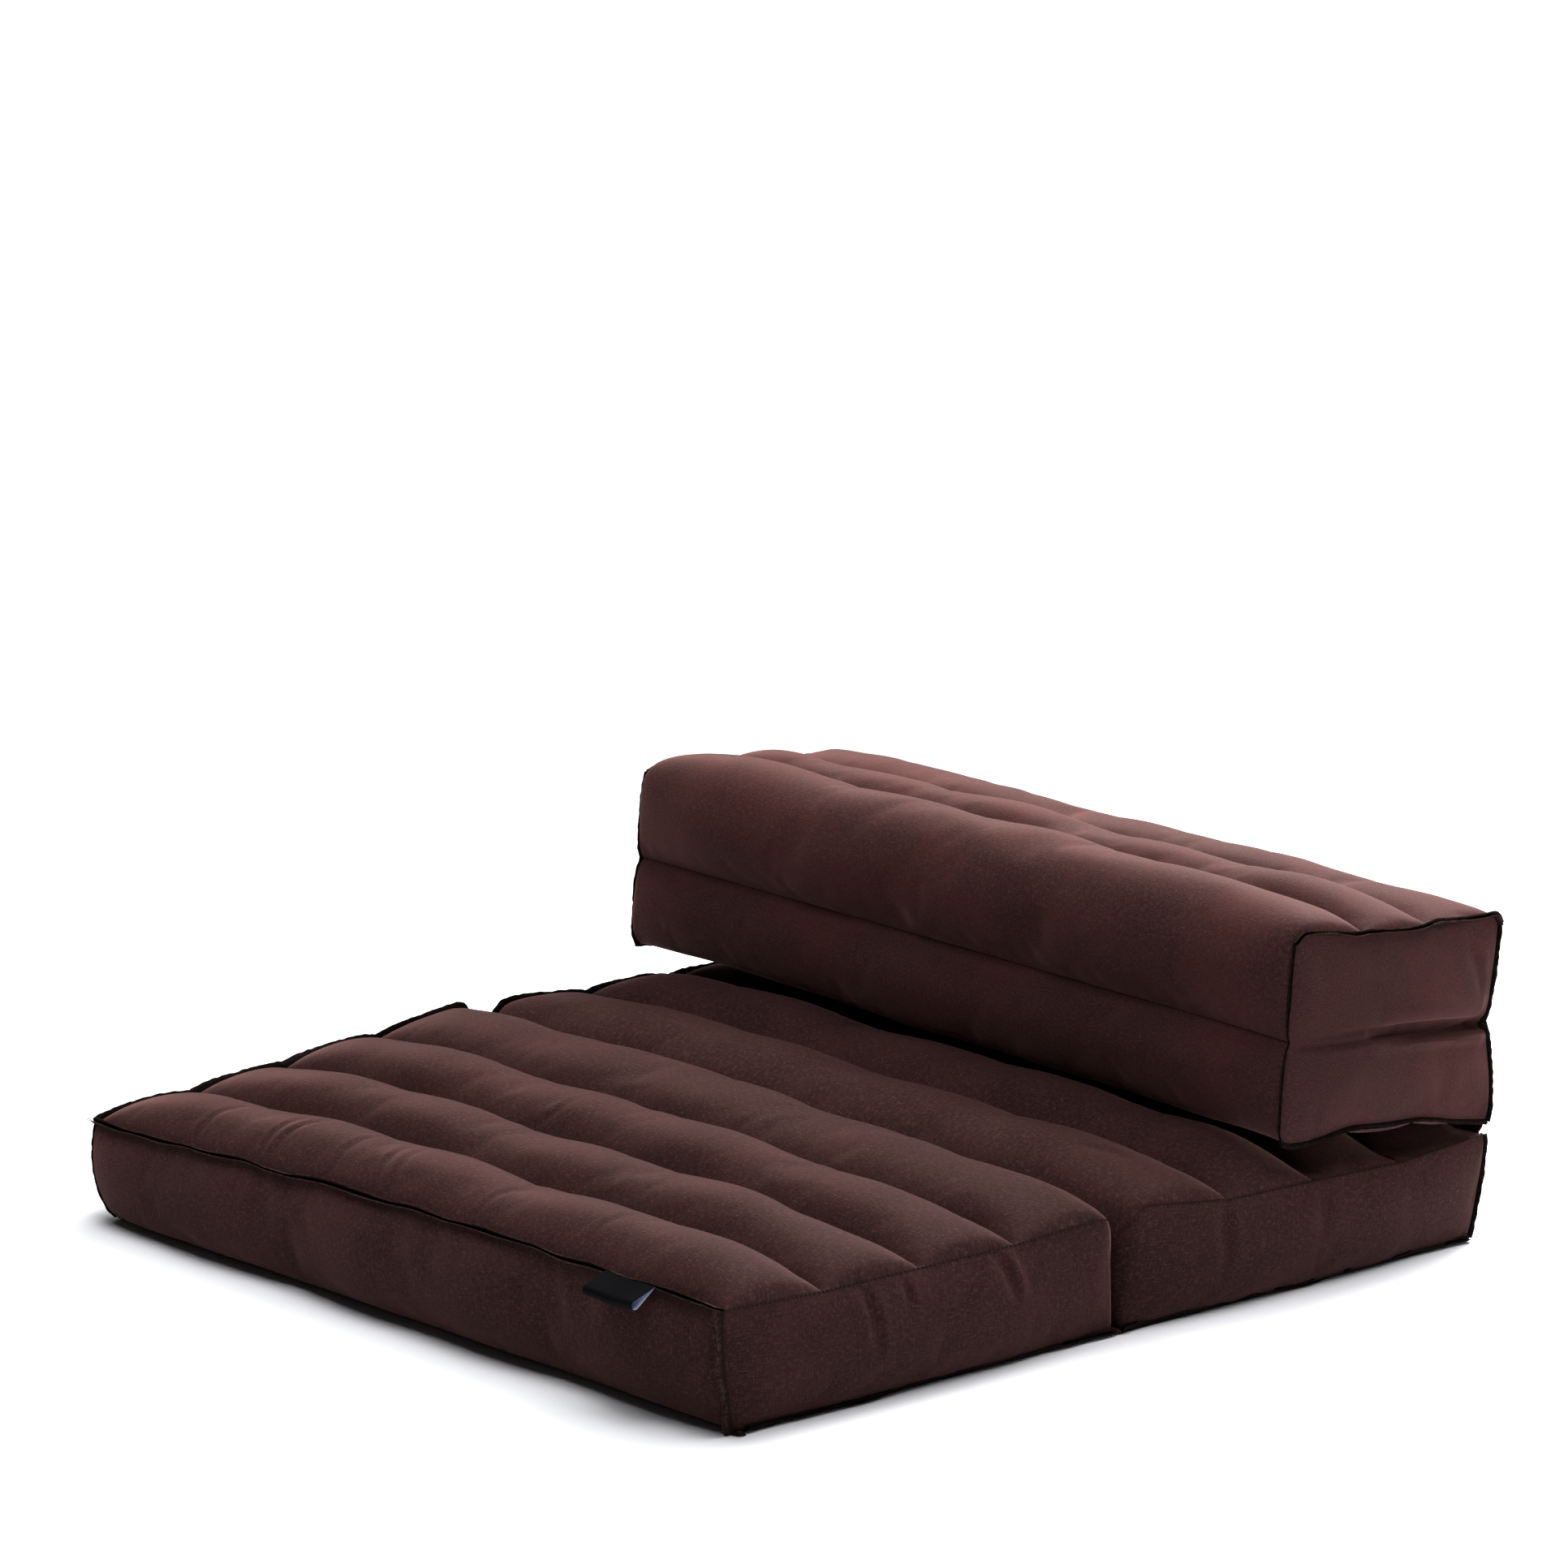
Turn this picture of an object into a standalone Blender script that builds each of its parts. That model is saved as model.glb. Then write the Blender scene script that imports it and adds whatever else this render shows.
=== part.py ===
"""Folding floor mattress of channelled, filled cotton.

Two floor cushions lie in line, and a thicker block is folded back onto the rear one. Each is a bundle of
filled channels that run along X. Metres, +Z up, origin on the floor under the middle of the mattress.
"""

from collections import namedtuple
from math import cos, pi, sin

import bmesh
import bpy
from mathutils import Vector

# Whole mattress
MIDDLE_Y = 0.3508  # the tables measure y from the front edge, and this is the middle
HALF_LENGTH = 0.350  # from the middle to each end panel
CLOTH_GAP = 0.0004  # between pieces that touch

# Sections along the channels, and how a channel fills up from its ends
STATIONS = 26
END_CROWDING = 0.55  # 0 for even stations, 1 for stations crowded at the ends
TAPER = 0.095
TAPER_ROUNDNESS = 2.4
END_WALL_SHARE = 0.3  # share of the walls' bulge that is left in the seams of the end panels

# Cloth around a section. A squareness of 2 is an ellipse, and more is flatter with tighter shoulders.
STITCH_CROWDING = 0.5
RUN_SQUARENESS = 2.2
CORNER_SQUARENESS = 3.4
CROWN_STEEPNESS = 0.6
CORNER_STEPS = 8
END_RADIUS_SHARE = 0.45  # a rounded corner is this much tighter at the end panels
END_PANEL_SQUARENESS = 3.0
END_PANEL_STEEPNESS = 0.9

# Rise and fall of the hand-stuffed filling along a channel
Wave = namedtuple("Wave", "rise count shift")
FILLING_WAVES = (Wave(rise=0.0016, count=2.1, shift=1.0), Wave(rise=0.0011, count=4.7, shift=2.3))
CHANNEL_SHIFT = 1.9  # from one channel to the next, in radians

# Seam allowances that stand outside the seams
FIN_HEIGHT = 0.0045
FIN_THICKNESS = 0.0022
FIN_WAVE = 0.0009
FIN_WAVE_LENGTH = 0.052
FLOOR_FIN = 0.003  # a seam below this height lies out flat on the floor
FLOOR_SNAP = 0.0002
FLAT_FIN = 0.3  # a fin that leans more than this towards the top or foot waves up and down

# Cloth that joins the pieces
FOLD_Y = 0.3528  # where the two floor cushions press against each other
HINGE_THICKNESS = 0.0018
HINGE_STEPS = 24
HINGE_WAVE = 0.3  # share by which a strip's fold comes and goes
HINGE_WAVES = 4.5
FOLD_RIDGE = 0.0010
FOLD_SLOPE = 0.0012  # how far the strip's sides lean in, clear of the cushions' walls
BACK_HINGE_BOW = 0.005
BACK_HINGE_INSET = 0.004  # its ends stay clear of the seam allowances at the block's corners

# Folded label under the front top seam
LABEL_MIDDLE_X = 0.260
LABEL_WIDTH = 0.050
LABEL_LENGTH = 0.0185
LABEL_THICKNESS = 0.001
LABEL_LOOP = 0.0024  # between the two layers at the fold
LABEL_DROOP = 0.54
LABEL_ROOT = (-0.0050, 0.0868)
LABEL_STEPS = 5
LABEL_ACROSS = 4
LABEL_CURL = 0.0006
LABEL_COLOUR = (0.006, 0.006, 0.008, 1.0)

Corner = namedtuple("Corner", "y z")
EndPanel = namedtuple("EndPanel", "front_foot front_top rear_top rear_foot")
Cushion = namedtuple(
    "Cushion",
    "name left right columns rows facets crowns sink wall_sink foot_crown foot_sink front_bulge rear_bulge "
    "rear_pinch end_bulge end_valley foot_draw_in bow radius rounded seams phase colour",
)
Node = namedtuple("Node", "place bulge rounded")

# Corner lines along the channels, in the order in which the section's outline runs through them
LINES = ("front_foot", "front_top", "rear_top", "rear_foot")

FRONT_CUSHION = Cushion(
    name="front_cushion",
    left=EndPanel(Corner(-0.004, 0.0), Corner(-0.002, 0.069), Corner(0.336, 0.097), Corner(0.349, 0.0)),
    right=EndPanel(Corner(0.014, 0.0), Corner(-0.002, 0.088), Corner(0.338, 0.086), Corner(0.349, 0.0)),
    columns=4,
    rows=1,
    facets=6,
    crowns=(0.025, 0.026, 0.026, 0.025),
    sink=0.006,
    wall_sink=0.0,
    foot_crown=0.008,
    foot_sink=0.005,
    front_bulge=0.013,
    rear_bulge=0.006,
    rear_pinch=0.0,
    end_bulge=0.011,
    end_valley=0.0,
    foot_draw_in=0.008,
    bow=0.006,
    radius=0.026,
    rounded=("rear_top",),
    seams=("front_top", "left top", "left front", "left foot", "right front", "right foot"),
    phase=0.4,
    colour=(0.052, 0.021, 0.018, 1.0),
)

REAR_CUSHION = Cushion(
    name="rear_cushion",
    left=EndPanel(Corner(0.356, 0.0), Corner(0.371, 0.093), Corner(0.708, 0.086), Corner(0.697, 0.0)),
    right=EndPanel(Corner(0.356, 0.0), Corner(0.367, 0.086), Corner(0.708, 0.078), Corner(0.697, 0.0)),
    columns=4,
    rows=1,
    facets=6,
    crowns=(0.025, 0.026, 0.026, 0.024),
    sink=0.006,
    wall_sink=0.0,
    foot_crown=0.008,
    foot_sink=0.005,
    front_bulge=0.006,
    rear_bulge=0.011,
    rear_pinch=0.0,
    end_bulge=0.011,
    end_valley=0.0,
    foot_draw_in=0.006,
    bow=0.002,
    radius=0.026,
    rounded=("front_top",),
    seams=("left top", "left rear", "left foot", "right rear", "right foot"),
    phase=1.7,
    colour=(0.050, 0.020, 0.018, 1.0),
)

BACK_BLOCK = Cushion(
    name="back_block",
    left=EndPanel(Corner(0.505, 0.122), Corner(0.519, 0.256), Corner(0.716, 0.243), Corner(0.709, 0.099)),
    right=EndPanel(Corner(0.503, 0.106), Corner(0.516, 0.251), Corner(0.716, 0.235), Corner(0.709, 0.088)),
    columns=3,
    rows=2,
    facets=5,
    crowns=(0.024, 0.019, 0.011),
    sink=0.003,
    wall_sink=0.004,
    foot_crown=0.012,
    foot_sink=0.004,
    front_bulge=0.017,
    rear_bulge=0.014,
    rear_pinch=0.007,
    end_bulge=0.010,
    end_valley=0.008,
    foot_draw_in=0.0,
    bow=0.001,
    radius=0.024,
    rounded=("front_foot", "front_top", "rear_top"),
    seams=(
        "left top",
        "left front",
        "left foot",
        "left rear",
        "right top",
        "right front",
        "right foot",
        "right rear",
    ),
    phase=2.9,
    colour=(0.056, 0.023, 0.020, 1.0),
)


def mix(a, b, share):
    """Value a share of the way from a to b."""
    return a + (b - a) * share


def crowded(index, count, crowding):
    """Share of the way along, with the points drawn towards both ends."""
    even = index / count
    return mix(even, (1 - cos(pi * even)) / 2, crowding)


def pillow(share, squareness, steepness=CROWN_STEEPNESS):
    """Rise of filled cloth between two stitch lines: 0 at both, 1 at the crown."""
    return max(0.0, 1 - abs(2 * share - 1) ** squareness) ** steepness


def fullness(along):
    """How full a channel is at a share of its length: 0 in the end seams, 1 past the taper."""
    from_end = min(along, 1 - along) * 2 * HALF_LENGTH
    near = max(0.0, 1 - from_end / TAPER)
    return (1 - near**TAPER_ROUNDNESS) ** (1 / TAPER_ROUNDNESS)


def hand_filling(cushion, along, number):
    """Small rise and fall of the filling along one channel, different in each."""
    start = cushion.phase + CHANNEL_SHIFT * number
    return sum(wave.rise * sin(2 * pi * along * wave.count + wave.shift * start) for wave in FILLING_WAVES)


def corner_places(cushion, along):
    """The section's four corners at a share of the length, as (y, z) vectors in LINES order."""
    places = []
    for line in LINES:
        left = Vector(getattr(cushion.left, line))
        right = Vector(getattr(cushion.right, line))
        place = left.lerp(right, along)
        if line.endswith("top"):
            place.y += cushion.bow * sin(pi * along)
        places.append(place)
    return places


def outward(direction):
    """Normal of a direction in the (y, z) plane, pointing out of the section's outline."""
    return Vector((-direction.y, direction.x)).normalized()


def section_nodes(cushion, along):
    """Corners and stitch lines around the section, up the front and back along the foot."""
    full = fullness(along)
    corners = corner_places(cushion, along)
    wall_full = mix(END_WALL_SHARE, 1.0, full)
    sides = (
        ([cushion.front_bulge * wall_full] * cushion.rows, cushion.wall_sink * full),
        ([crown * full for crown in cushion.crowns], cushion.sink * full),
        ([cushion.rear_bulge * wall_full] * cushion.rows, cushion.wall_sink * full + cushion.rear_pinch),
        ([cushion.foot_crown * full] * cushion.columns, cushion.foot_sink * full),
    )
    nodes = []
    for side, (bulges, sink) in enumerate(sides):
        start = corners[side]
        end = corners[(side + 1) % len(corners)]
        inward = -outward(end - start)
        for cell, bulge in enumerate(bulges):
            uneven = hand_filling(cushion, along, len(nodes)) * full
            place = start.lerp(end, cell / len(bulges)) + inward * (sink if cell else 0.0)
            nodes.append(Node(place, bulge + uneven, cell == 0 and LINES[side] in cushion.rounded))
    return nodes


def corner_path(places, radius):
    """Straight run, or two runs joined by an arc, as (place, outward normal) pairs."""
    if len(places) == 2:
        normal = outward(places[1] - places[0])
        return [(places[0], normal), (places[1], normal)]
    start, corner, end = places
    before = (corner - start).normalized()
    after = (end - corner).normalized()
    centre = corner - before * radius + after * radius
    path = [(start, outward(before))]
    for step in range(CORNER_STEPS + 1):
        turn = 0.5 * pi * step / CORNER_STEPS
        spoke = before * sin(turn) - after * cos(turn)
        path.append((centre + spoke * radius, spoke))
    path.append((end, outward(after)))
    return path


def along_path(path, share):
    """Place and outward normal at a share of the path's length."""
    lengths = [(end[0] - start[0]).length for start, end in zip(path, path[1:])]
    distance = share * sum(lengths)
    for start, end, length in zip(path, path[1:], lengths):
        if distance <= length or end is path[-1]:
            part = min(1.0, distance / length)
            return start[0].lerp(end[0], part), start[1].lerp(end[1], part).normalized()
        distance -= length


def cloth_run(nodes, radius, facets):
    """Points of the cloth from one drawn-in node to the next, without the last point."""
    path = corner_path([node.place for node in nodes], radius)
    squareness = RUN_SQUARENESS if len(nodes) == 2 else CORNER_SQUARENESS
    points = []
    for index in range(facets):
        share = crowded(index, facets, STITCH_CROWDING)
        place, normal = along_path(path, share)
        rise = mix(nodes[0].bulge, nodes[-2].bulge, share)
        points.append(place + normal * rise * pillow(share, squareness))
    return points


def section(cushion, along):
    """Outline of the cushion across its channels, as (y, z) points from the front foot."""
    nodes = section_nodes(cushion, along)
    radius = cushion.radius * mix(END_RADIUS_SHARE, 1.0, fullness(along))
    total = len(nodes) * cushion.facets
    outline = [None] * total
    for number, node in enumerate(nodes):
        if node.rounded:
            continue
        after = nodes[(number + 1) % len(nodes)]
        run = [node, after]
        if after.rounded:
            run.append(nodes[(number + 2) % len(nodes)])
        points = cloth_run(run, radius, cushion.facets * (len(run) - 1))
        for step, point in enumerate(points):
            outline[(number * cushion.facets + step) % total] = point
    return outline


def block_rest(along, y):
    """Height of the plane on which the block rests, which slopes down to the rear."""
    front, _, _, rear = corner_places(BACK_BLOCK, along)
    share = (y - front.x) / (rear.x - front.x)
    return mix(front.y, rear.y, share)


def settle(cushion, along, y, z):
    """Where a section point comes to rest, against the floor or the cushion next to it."""
    if cushion is BACK_BLOCK:
        return y, max(z, block_rest(along, y) + CLOTH_GAP / 2)
    if cushion is REAR_CUSHION:
        y = max(y, FOLD_Y + CLOTH_GAP / 2)
        z = min(z, block_rest(along, y) - CLOTH_GAP / 2)
    if cushion is FRONT_CUSHION:
        y = min(y, FOLD_Y - CLOTH_GAP / 2)
    return y, max(z, 0.0)


def place_point(cushion, along, y, z):
    """The world place of a section point, with the end panels' feet drawn in."""
    y, z = settle(cushion, along, y, z)
    height = cushion.right.front_top.z
    draw_in = cushion.foot_draw_in * max(0.0, 1 - z / height)
    x = mix(-1, 1, along) * (HALF_LENGTH - draw_in)
    return Vector((x, y - MIDDLE_Y, z))


def panel_bulge(cushion, s, t):
    """How far an end panel stands out at a share of its width and of its height."""
    swell = 1.0
    for share in (s, t):
        swell *= pillow(share, END_PANEL_SQUARENESS, END_PANEL_STEEPNESS)
    from_valley = abs(2 * t - 1)
    valley = cushion.end_valley * (1 - from_valley) ** 2
    return (cushion.end_bulge - valley) * swell


def end_grid(bm, cushion, ring, side):
    """Rows of points of an end panel: its border is the ring's own points, and its middle is blended."""
    across = cushion.columns * cushion.facets
    up = cushion.rows * cushion.facets
    foot = [ring[-column % len(ring)] for column in range(across + 1)]
    top = [ring[up + column] for column in range(across + 1)]
    front = [ring[row] for row in range(up + 1)]
    rear = [ring[2 * up + across - row] for row in range(up + 1)]
    grid = [foot]
    for row in range(1, up):
        t = row / up
        line = [front[row]]
        for column in range(1, across):
            s = column / across
            edges = foot[column].co.lerp(top[column].co, t) + front[row].co.lerp(rear[row].co, s)
            corners = foot[0].co.lerp(foot[-1].co, s).lerp(top[0].co.lerp(top[-1].co, s), t)
            out = Vector((side * panel_bulge(cushion, s, t), 0, 0))
            line.append(bm.verts.new(edges - corners + out))
        grid.append(line + [rear[row]])
    grid.append(top)
    for below, above in zip(grid, grid[1:]):
        for column in range(across):
            bm.faces.new((below[column], below[column + 1], above[column + 1], above[column]))
    return grid


def build_body(bm, cushion):
    """Closed body of a cushion. Returns its seams, each a row of points."""
    rings = []
    for station in range(STATIONS + 1):
        along = crowded(station, STATIONS, END_CROWDING)
        outline = section(cushion, along)
        rings.append([bm.verts.new(place_point(cushion, along, y, z)) for y, z in outline])
    for ring, following in zip(rings, rings[1:]):
        for index in range(len(ring)):
            after = (index + 1) % len(ring)
            bm.faces.new((ring[index], ring[after], following[after], following[index]))
    up = cushion.rows * cushion.facets
    across = cushion.columns * cushion.facets
    starts = dict(zip(LINES, (0, up, up + across, 2 * up + across)))
    seams = {line: [ring[start] for ring in rings] for line, start in starts.items()}
    for end, ring, side in (("left", rings[0], -1), ("right", rings[-1], 1)):
        grid = end_grid(bm, cushion, ring, side)
        seams[end + " foot"] = grid[0]
        seams[end + " top"] = grid[-1]
        seams[end + " front"] = [line[0] for line in grid]
        seams[end + " rear"] = [line[-1] for line in grid]
    return seams


def raise_fins(bm, cushion, seams):
    """Stand the seam allowances up along the cushion's seams."""
    edges = []
    for name in cushion.seams:
        line = seams[name]
        edges += [bm.edges.get(pair) for pair in zip(line, line[1:])]
    strips = bmesh.ops.bevel(
        bm,
        geom=edges,
        offset=FIN_THICKNESS,
        offset_type="WIDTH",
        segments=1,
        affect="EDGES",
    )["faces"]
    raised = bmesh.ops.extrude_face_region(bm, geom=strips)["geom"]
    bmesh.ops.delete(bm, geom=strips, context="FACES_ONLY")
    tips = [item for item in raised if isinstance(item, bmesh.types.BMVert)]
    tip_faces = {item for item in raised if isinstance(item, bmesh.types.BMFace)}
    moves = [fin_move(cushion, point, tip_faces) for point in tips]
    for point, move in zip(tips, moves):
        point.co += move
    for point in bm.verts:
        if point.co.z < FLOOR_SNAP:
            point.co.z = 0.0


def fin_move(cushion, point, tip_faces):
    """From the seam to the edge of its allowance, which waves a little from side to side."""
    normal = Vector()
    for face in point.link_faces:
        if face in tip_faces:
            normal += face.normal
    if point.co.z < FLOOR_FIN:
        normal.z = 0.0
    normal.normalize()
    turn = 2 * pi * sum(point.co) / FIN_WAVE_LENGTH + cushion.phase
    lean = Vector((0, 0, 1)) if abs(normal.z) > FLAT_FIN else Vector((-normal.y, normal.x, 0))
    if point.co.z < FLOOR_FIN:
        lean = Vector()
    return normal * FIN_HEIGHT + lean * FIN_WAVE * sin(turn)


def clear_scene():
    """Start from an empty scene."""
    for found in list(bpy.data.objects):
        bpy.data.objects.remove(found, do_unlink=True)


def cotton(name, colour):
    """Matt plain-woven cotton of one colour."""
    material = bpy.data.materials.new(name)
    material.use_nodes = True
    shader = material.node_tree.nodes["Principled BSDF"]
    shader.inputs["Base Color"].default_value = colour
    shader.inputs["Roughness"].default_value = 0.9
    shader.inputs["Metallic"].default_value = 0.0
    return material


def finish_object(name, bm, material):
    """Turn the working mesh into one named object."""
    bmesh.ops.recalc_face_normals(bm, faces=bm.faces)
    mesh = bpy.data.meshes.new(name)
    bm.to_mesh(mesh)
    bm.free()
    mesh.materials.append(material)
    made = bpy.data.objects.new(name, mesh)
    bpy.context.collection.objects.link(made)
    return made


def build_cushion(cushion):
    """One filled cushion with its seam allowances."""
    bm = bmesh.new()
    seams = build_body(bm, cushion)
    bmesh.ops.recalc_face_normals(bm, faces=bm.faces)
    raise_fins(bm, cushion, seams)
    return finish_object(cushion.name, bm, cotton(cushion.name + "_cotton", cushion.colour))


def sweep(name, outlines, colour):
    """Closed piece through a row of outlines, each a list of places that runs the same way round."""
    bm = bmesh.new()
    rings = [[bm.verts.new(place) for place in outline] for outline in outlines]
    for ring, following in zip(rings, rings[1:]):
        for index in range(len(ring)):
            after = (index + 1) % len(ring)
            bm.faces.new((ring[index], ring[after], following[after], following[index]))
    bm.faces.new(rings[0])
    bm.faces.new(rings[-1])
    return finish_object(name, bm, cotton(name + "_cotton", colour))


def build_fold_hinge():
    """Strip on the floor that joins the feet of the two floor cushions."""
    outlines = []
    for step in range(HINGE_STEPS + 1):
        along = step / HINGE_STEPS
        x = mix(-1, 1, along) * (HALF_LENGTH - FRONT_CUSHION.foot_draw_in)
        front = corner_places(FRONT_CUSHION, along)[3].x - MIDDLE_Y + CLOTH_GAP
        rear = corner_places(REAR_CUSHION, along)[0].x - MIDDLE_Y - CLOTH_GAP
        middle = mix(front, rear, 0.5)
        ridge = FOLD_RIDGE * (1 + HINGE_WAVE * sin(2 * pi * HINGE_WAVES * along))
        strip = (
            (front, 0.0),
            (front + FOLD_SLOPE, HINGE_THICKNESS),
            (middle, HINGE_THICKNESS + ridge),
            (rear - FOLD_SLOPE, HINGE_THICKNESS),
            (rear, 0.0),
        )
        outlines.append([Vector((x, y, z)) for y, z in strip])
    return sweep("fold_hinge", outlines, FRONT_CUSHION.colour)


def build_back_hinge():
    """Strip that joins the rear cushion's top edge to the block's foot, bowed out to the rear."""
    outlines = []
    for step in range(HINGE_STEPS + 1):
        along = step / HINGE_STEPS
        x = mix(-1, 1, along) * (HALF_LENGTH - BACK_HINGE_INSET)
        low = corner_places(REAR_CUSHION, along)[2] - Vector((MIDDLE_Y - CLOTH_GAP, -CLOTH_GAP))
        high = corner_places(BACK_BLOCK, along)[3] - Vector((MIDDLE_Y - CLOTH_GAP, CLOTH_GAP))
        bow = BACK_HINGE_BOW * (1 + HINGE_WAVE * sin(2 * pi * HINGE_WAVES * along))
        middle = low.lerp(high, 0.5) + Vector((bow, 0.0))
        skin = Vector((HINGE_THICKNESS, 0.0))
        section_points = (low, middle, high, high + skin, middle + skin, low + skin)
        outlines.append([Vector((x, point.x, point.y)) for point in section_points])
    return sweep("back_hinge", outlines, REAR_CUSHION.colour)


def label_section():
    """The folded label's section in its own plane, as (out, up) pairs from the fold's outside."""
    outline = []
    for rise, depth in ((LABEL_THICKNESS, 1), (0.0, -1)):
        radius = LABEL_LOOP / 2 + rise
        half = []
        for step in range(LABEL_STEPS + 1):
            share = step / LABEL_STEPS
            half.append((LABEL_LENGTH * share, mix(CLOTH_GAP / 2, LABEL_LOOP / 2, share) + rise))
        for step in range(1, LABEL_STEPS + 1):
            turn = 0.5 * pi * step / LABEL_STEPS
            half.append((LABEL_LENGTH + radius * sin(turn), radius * cos(turn)))
        whole = half + [(out, -up) for out, up in half[-2::-1]]
        outline += whole[::depth]
    return outline


def build_label():
    """Plain woven label, folded in two with both ends held under the front top seam."""
    out = Vector((0, -cos(LABEL_DROOP), -sin(LABEL_DROOP)))
    up = Vector((0, -sin(LABEL_DROOP), cos(LABEL_DROOP)))
    root = Vector((0, LABEL_ROOT[0] - MIDDLE_Y, LABEL_ROOT[1]))
    outlines = []
    for step in range(LABEL_ACROSS + 1):
        share = step / LABEL_ACROSS
        x = LABEL_MIDDLE_X + LABEL_WIDTH * (share - 0.5)
        lift = Vector((x, 0, LABEL_CURL * (2 * share - 1) ** 2))
        outlines.append([root + lift + out * along + up * rise for along, rise in label_section()])
    return sweep("label", outlines, LABEL_COLOUR)


def main():
    """Build every piece of the mattress."""
    clear_scene()
    for cushion in (FRONT_CUSHION, REAR_CUSHION, BACK_BLOCK):
        build_cushion(cushion)
    build_fold_hinge()
    build_back_hinge()
    build_label()


main()
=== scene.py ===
"""Looks of a folding floor mattress of channelled, filled cotton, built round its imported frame.

Two floor cushions lie in line and a thicker block is folded back onto the rear one. Metres, +Z up, with the
origin on the floor under the middle of the mattress. X runs along the channels, from the left to the right.
"""

import logging
import random
from dataclasses import dataclass, field
from enum import Enum
from itertools import cycle
from math import cos, pi, radians, sin
from typing import Iterable, Mapping, NamedTuple, Sequence

import bmesh
import bpy
import numpy as np
from mathutils import Matrix, Vector, noise


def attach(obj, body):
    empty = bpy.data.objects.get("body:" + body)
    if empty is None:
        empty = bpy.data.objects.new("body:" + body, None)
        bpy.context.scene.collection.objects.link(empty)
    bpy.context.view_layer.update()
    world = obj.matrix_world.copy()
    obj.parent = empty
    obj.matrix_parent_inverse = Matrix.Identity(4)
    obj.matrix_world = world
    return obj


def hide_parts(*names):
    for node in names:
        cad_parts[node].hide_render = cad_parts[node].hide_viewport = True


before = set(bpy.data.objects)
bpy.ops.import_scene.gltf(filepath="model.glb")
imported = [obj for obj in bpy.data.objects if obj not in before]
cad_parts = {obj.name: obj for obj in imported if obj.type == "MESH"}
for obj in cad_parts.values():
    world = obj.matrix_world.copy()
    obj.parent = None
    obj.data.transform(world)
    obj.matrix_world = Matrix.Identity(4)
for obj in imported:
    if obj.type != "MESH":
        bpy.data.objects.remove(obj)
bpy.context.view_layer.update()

LOG = logging.getLogger("floor_mattress")
BODY = "root"
MILLIMETRE = 0.001

MIDDLE_Y = 0.3508  # the tables measure y from the front edge, and this is the middle
HALF_LENGTH = 0.350  # from the middle to the seams of each end panel
FOLD_Y = 0.3528  # where the two floor cushions press against each other
CLOTH_GAP = 0.0004  # between pieces that touch
FLOOR_GAP = 0.0001  # between the floor and what lies loosely on it
TINY = 1e-6  # too short to count, in metres
THREAD_SIDES = 5  # sides of a thread's round section

Rgba = tuple[float, float, float, float]
Place = tuple[float, float, float]
Inputs = Mapping[int | str, object]


# Small helpers


def mix(a: float, b: float, share: float) -> float:
    """Value a share of the way from a to b."""
    return a + (b - a) * share


def crowded(index: int, count: int, crowding: float) -> float:
    """Share of the way along, with the points drawn towards both ends."""
    even = index / count
    return mix(even, (1 - cos(pi * even)) / 2, crowding)


def pillow(share: float, squareness: float, steepness: float) -> float:
    """Rise of filled cloth between two stitch lines: 0 at both, 1 at the crown."""
    return max(0.0, 1 - abs(2 * share - 1) ** squareness) ** steepness


def linear(colour: str) -> Rgba:
    """Linear colour of an sRGB hex value.

    Args:
        colour: the sRGB colour, such as "#4a2f2b".

    Returns:
        The four linear channels, with alpha 1.
    """
    channels = [int(colour[start : start + 2], 16) / 255 for start in (1, 3, 5)]
    low = [c / 12.92 if c <= 0.04045 else ((c + 0.055) / 1.055) ** 2.4 for c in channels]
    return low[0], low[1], low[2], 1.0


def per_metre(width_mm: float) -> float:
    """Scale of a pattern: how many details of this width there are in a metre."""
    return 1000 / width_mm


def put(tree: bpy.types.NodeTree, socket: bpy.types.NodeSocket, value: object) -> None:
    """Set an input socket, or link it.

    Args:
        tree: the material's node tree.
        socket: the input.
        value: its value, or the socket to link from.
    """
    if isinstance(value, bpy.types.NodeSocket):
        tree.links.new(value, socket)
    else:
        socket.default_value = value


def add_node(
    tree: bpy.types.NodeTree,
    kind: str,
    inputs: Inputs | None = None,
    output: int | str = 0,
    **settings: object,
) -> bpy.types.NodeSocket:
    """Add one shader node with its settings, values and links.

    Args:
        tree: the material's node tree.
        kind: the node's type name in Blender.
        inputs: a value, or a socket to link from, for each input by name or number.
        output: the output that is wanted, by name or number.
        **settings: properties of the node itself.

    Returns:
        The socket of that output.
    """
    node = tree.nodes.new(kind)
    for name, value in settings.items():
        setattr(node, name, value)
    for socket, value in (inputs or {}).items():
        put(tree, node.inputs[socket], value)
    return node.outputs[output]


def link_object(name: str, data: bpy.types.ID | None) -> bpy.types.Object:
    """Put a mesh, a light or a camera into the scene.

    Args:
        name: the object's name.
        data: the mesh, light or camera.

    Returns:
        The new object.
    """
    made = bpy.data.objects.new(name, data)
    bpy.context.scene.collection.objects.link(made)
    return made


def above_floor(place: Vector) -> Vector:
    """The same place, but not under the floor."""
    return Vector((place.x, place.y, max(place.z, FLOOR_GAP)))


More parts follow.
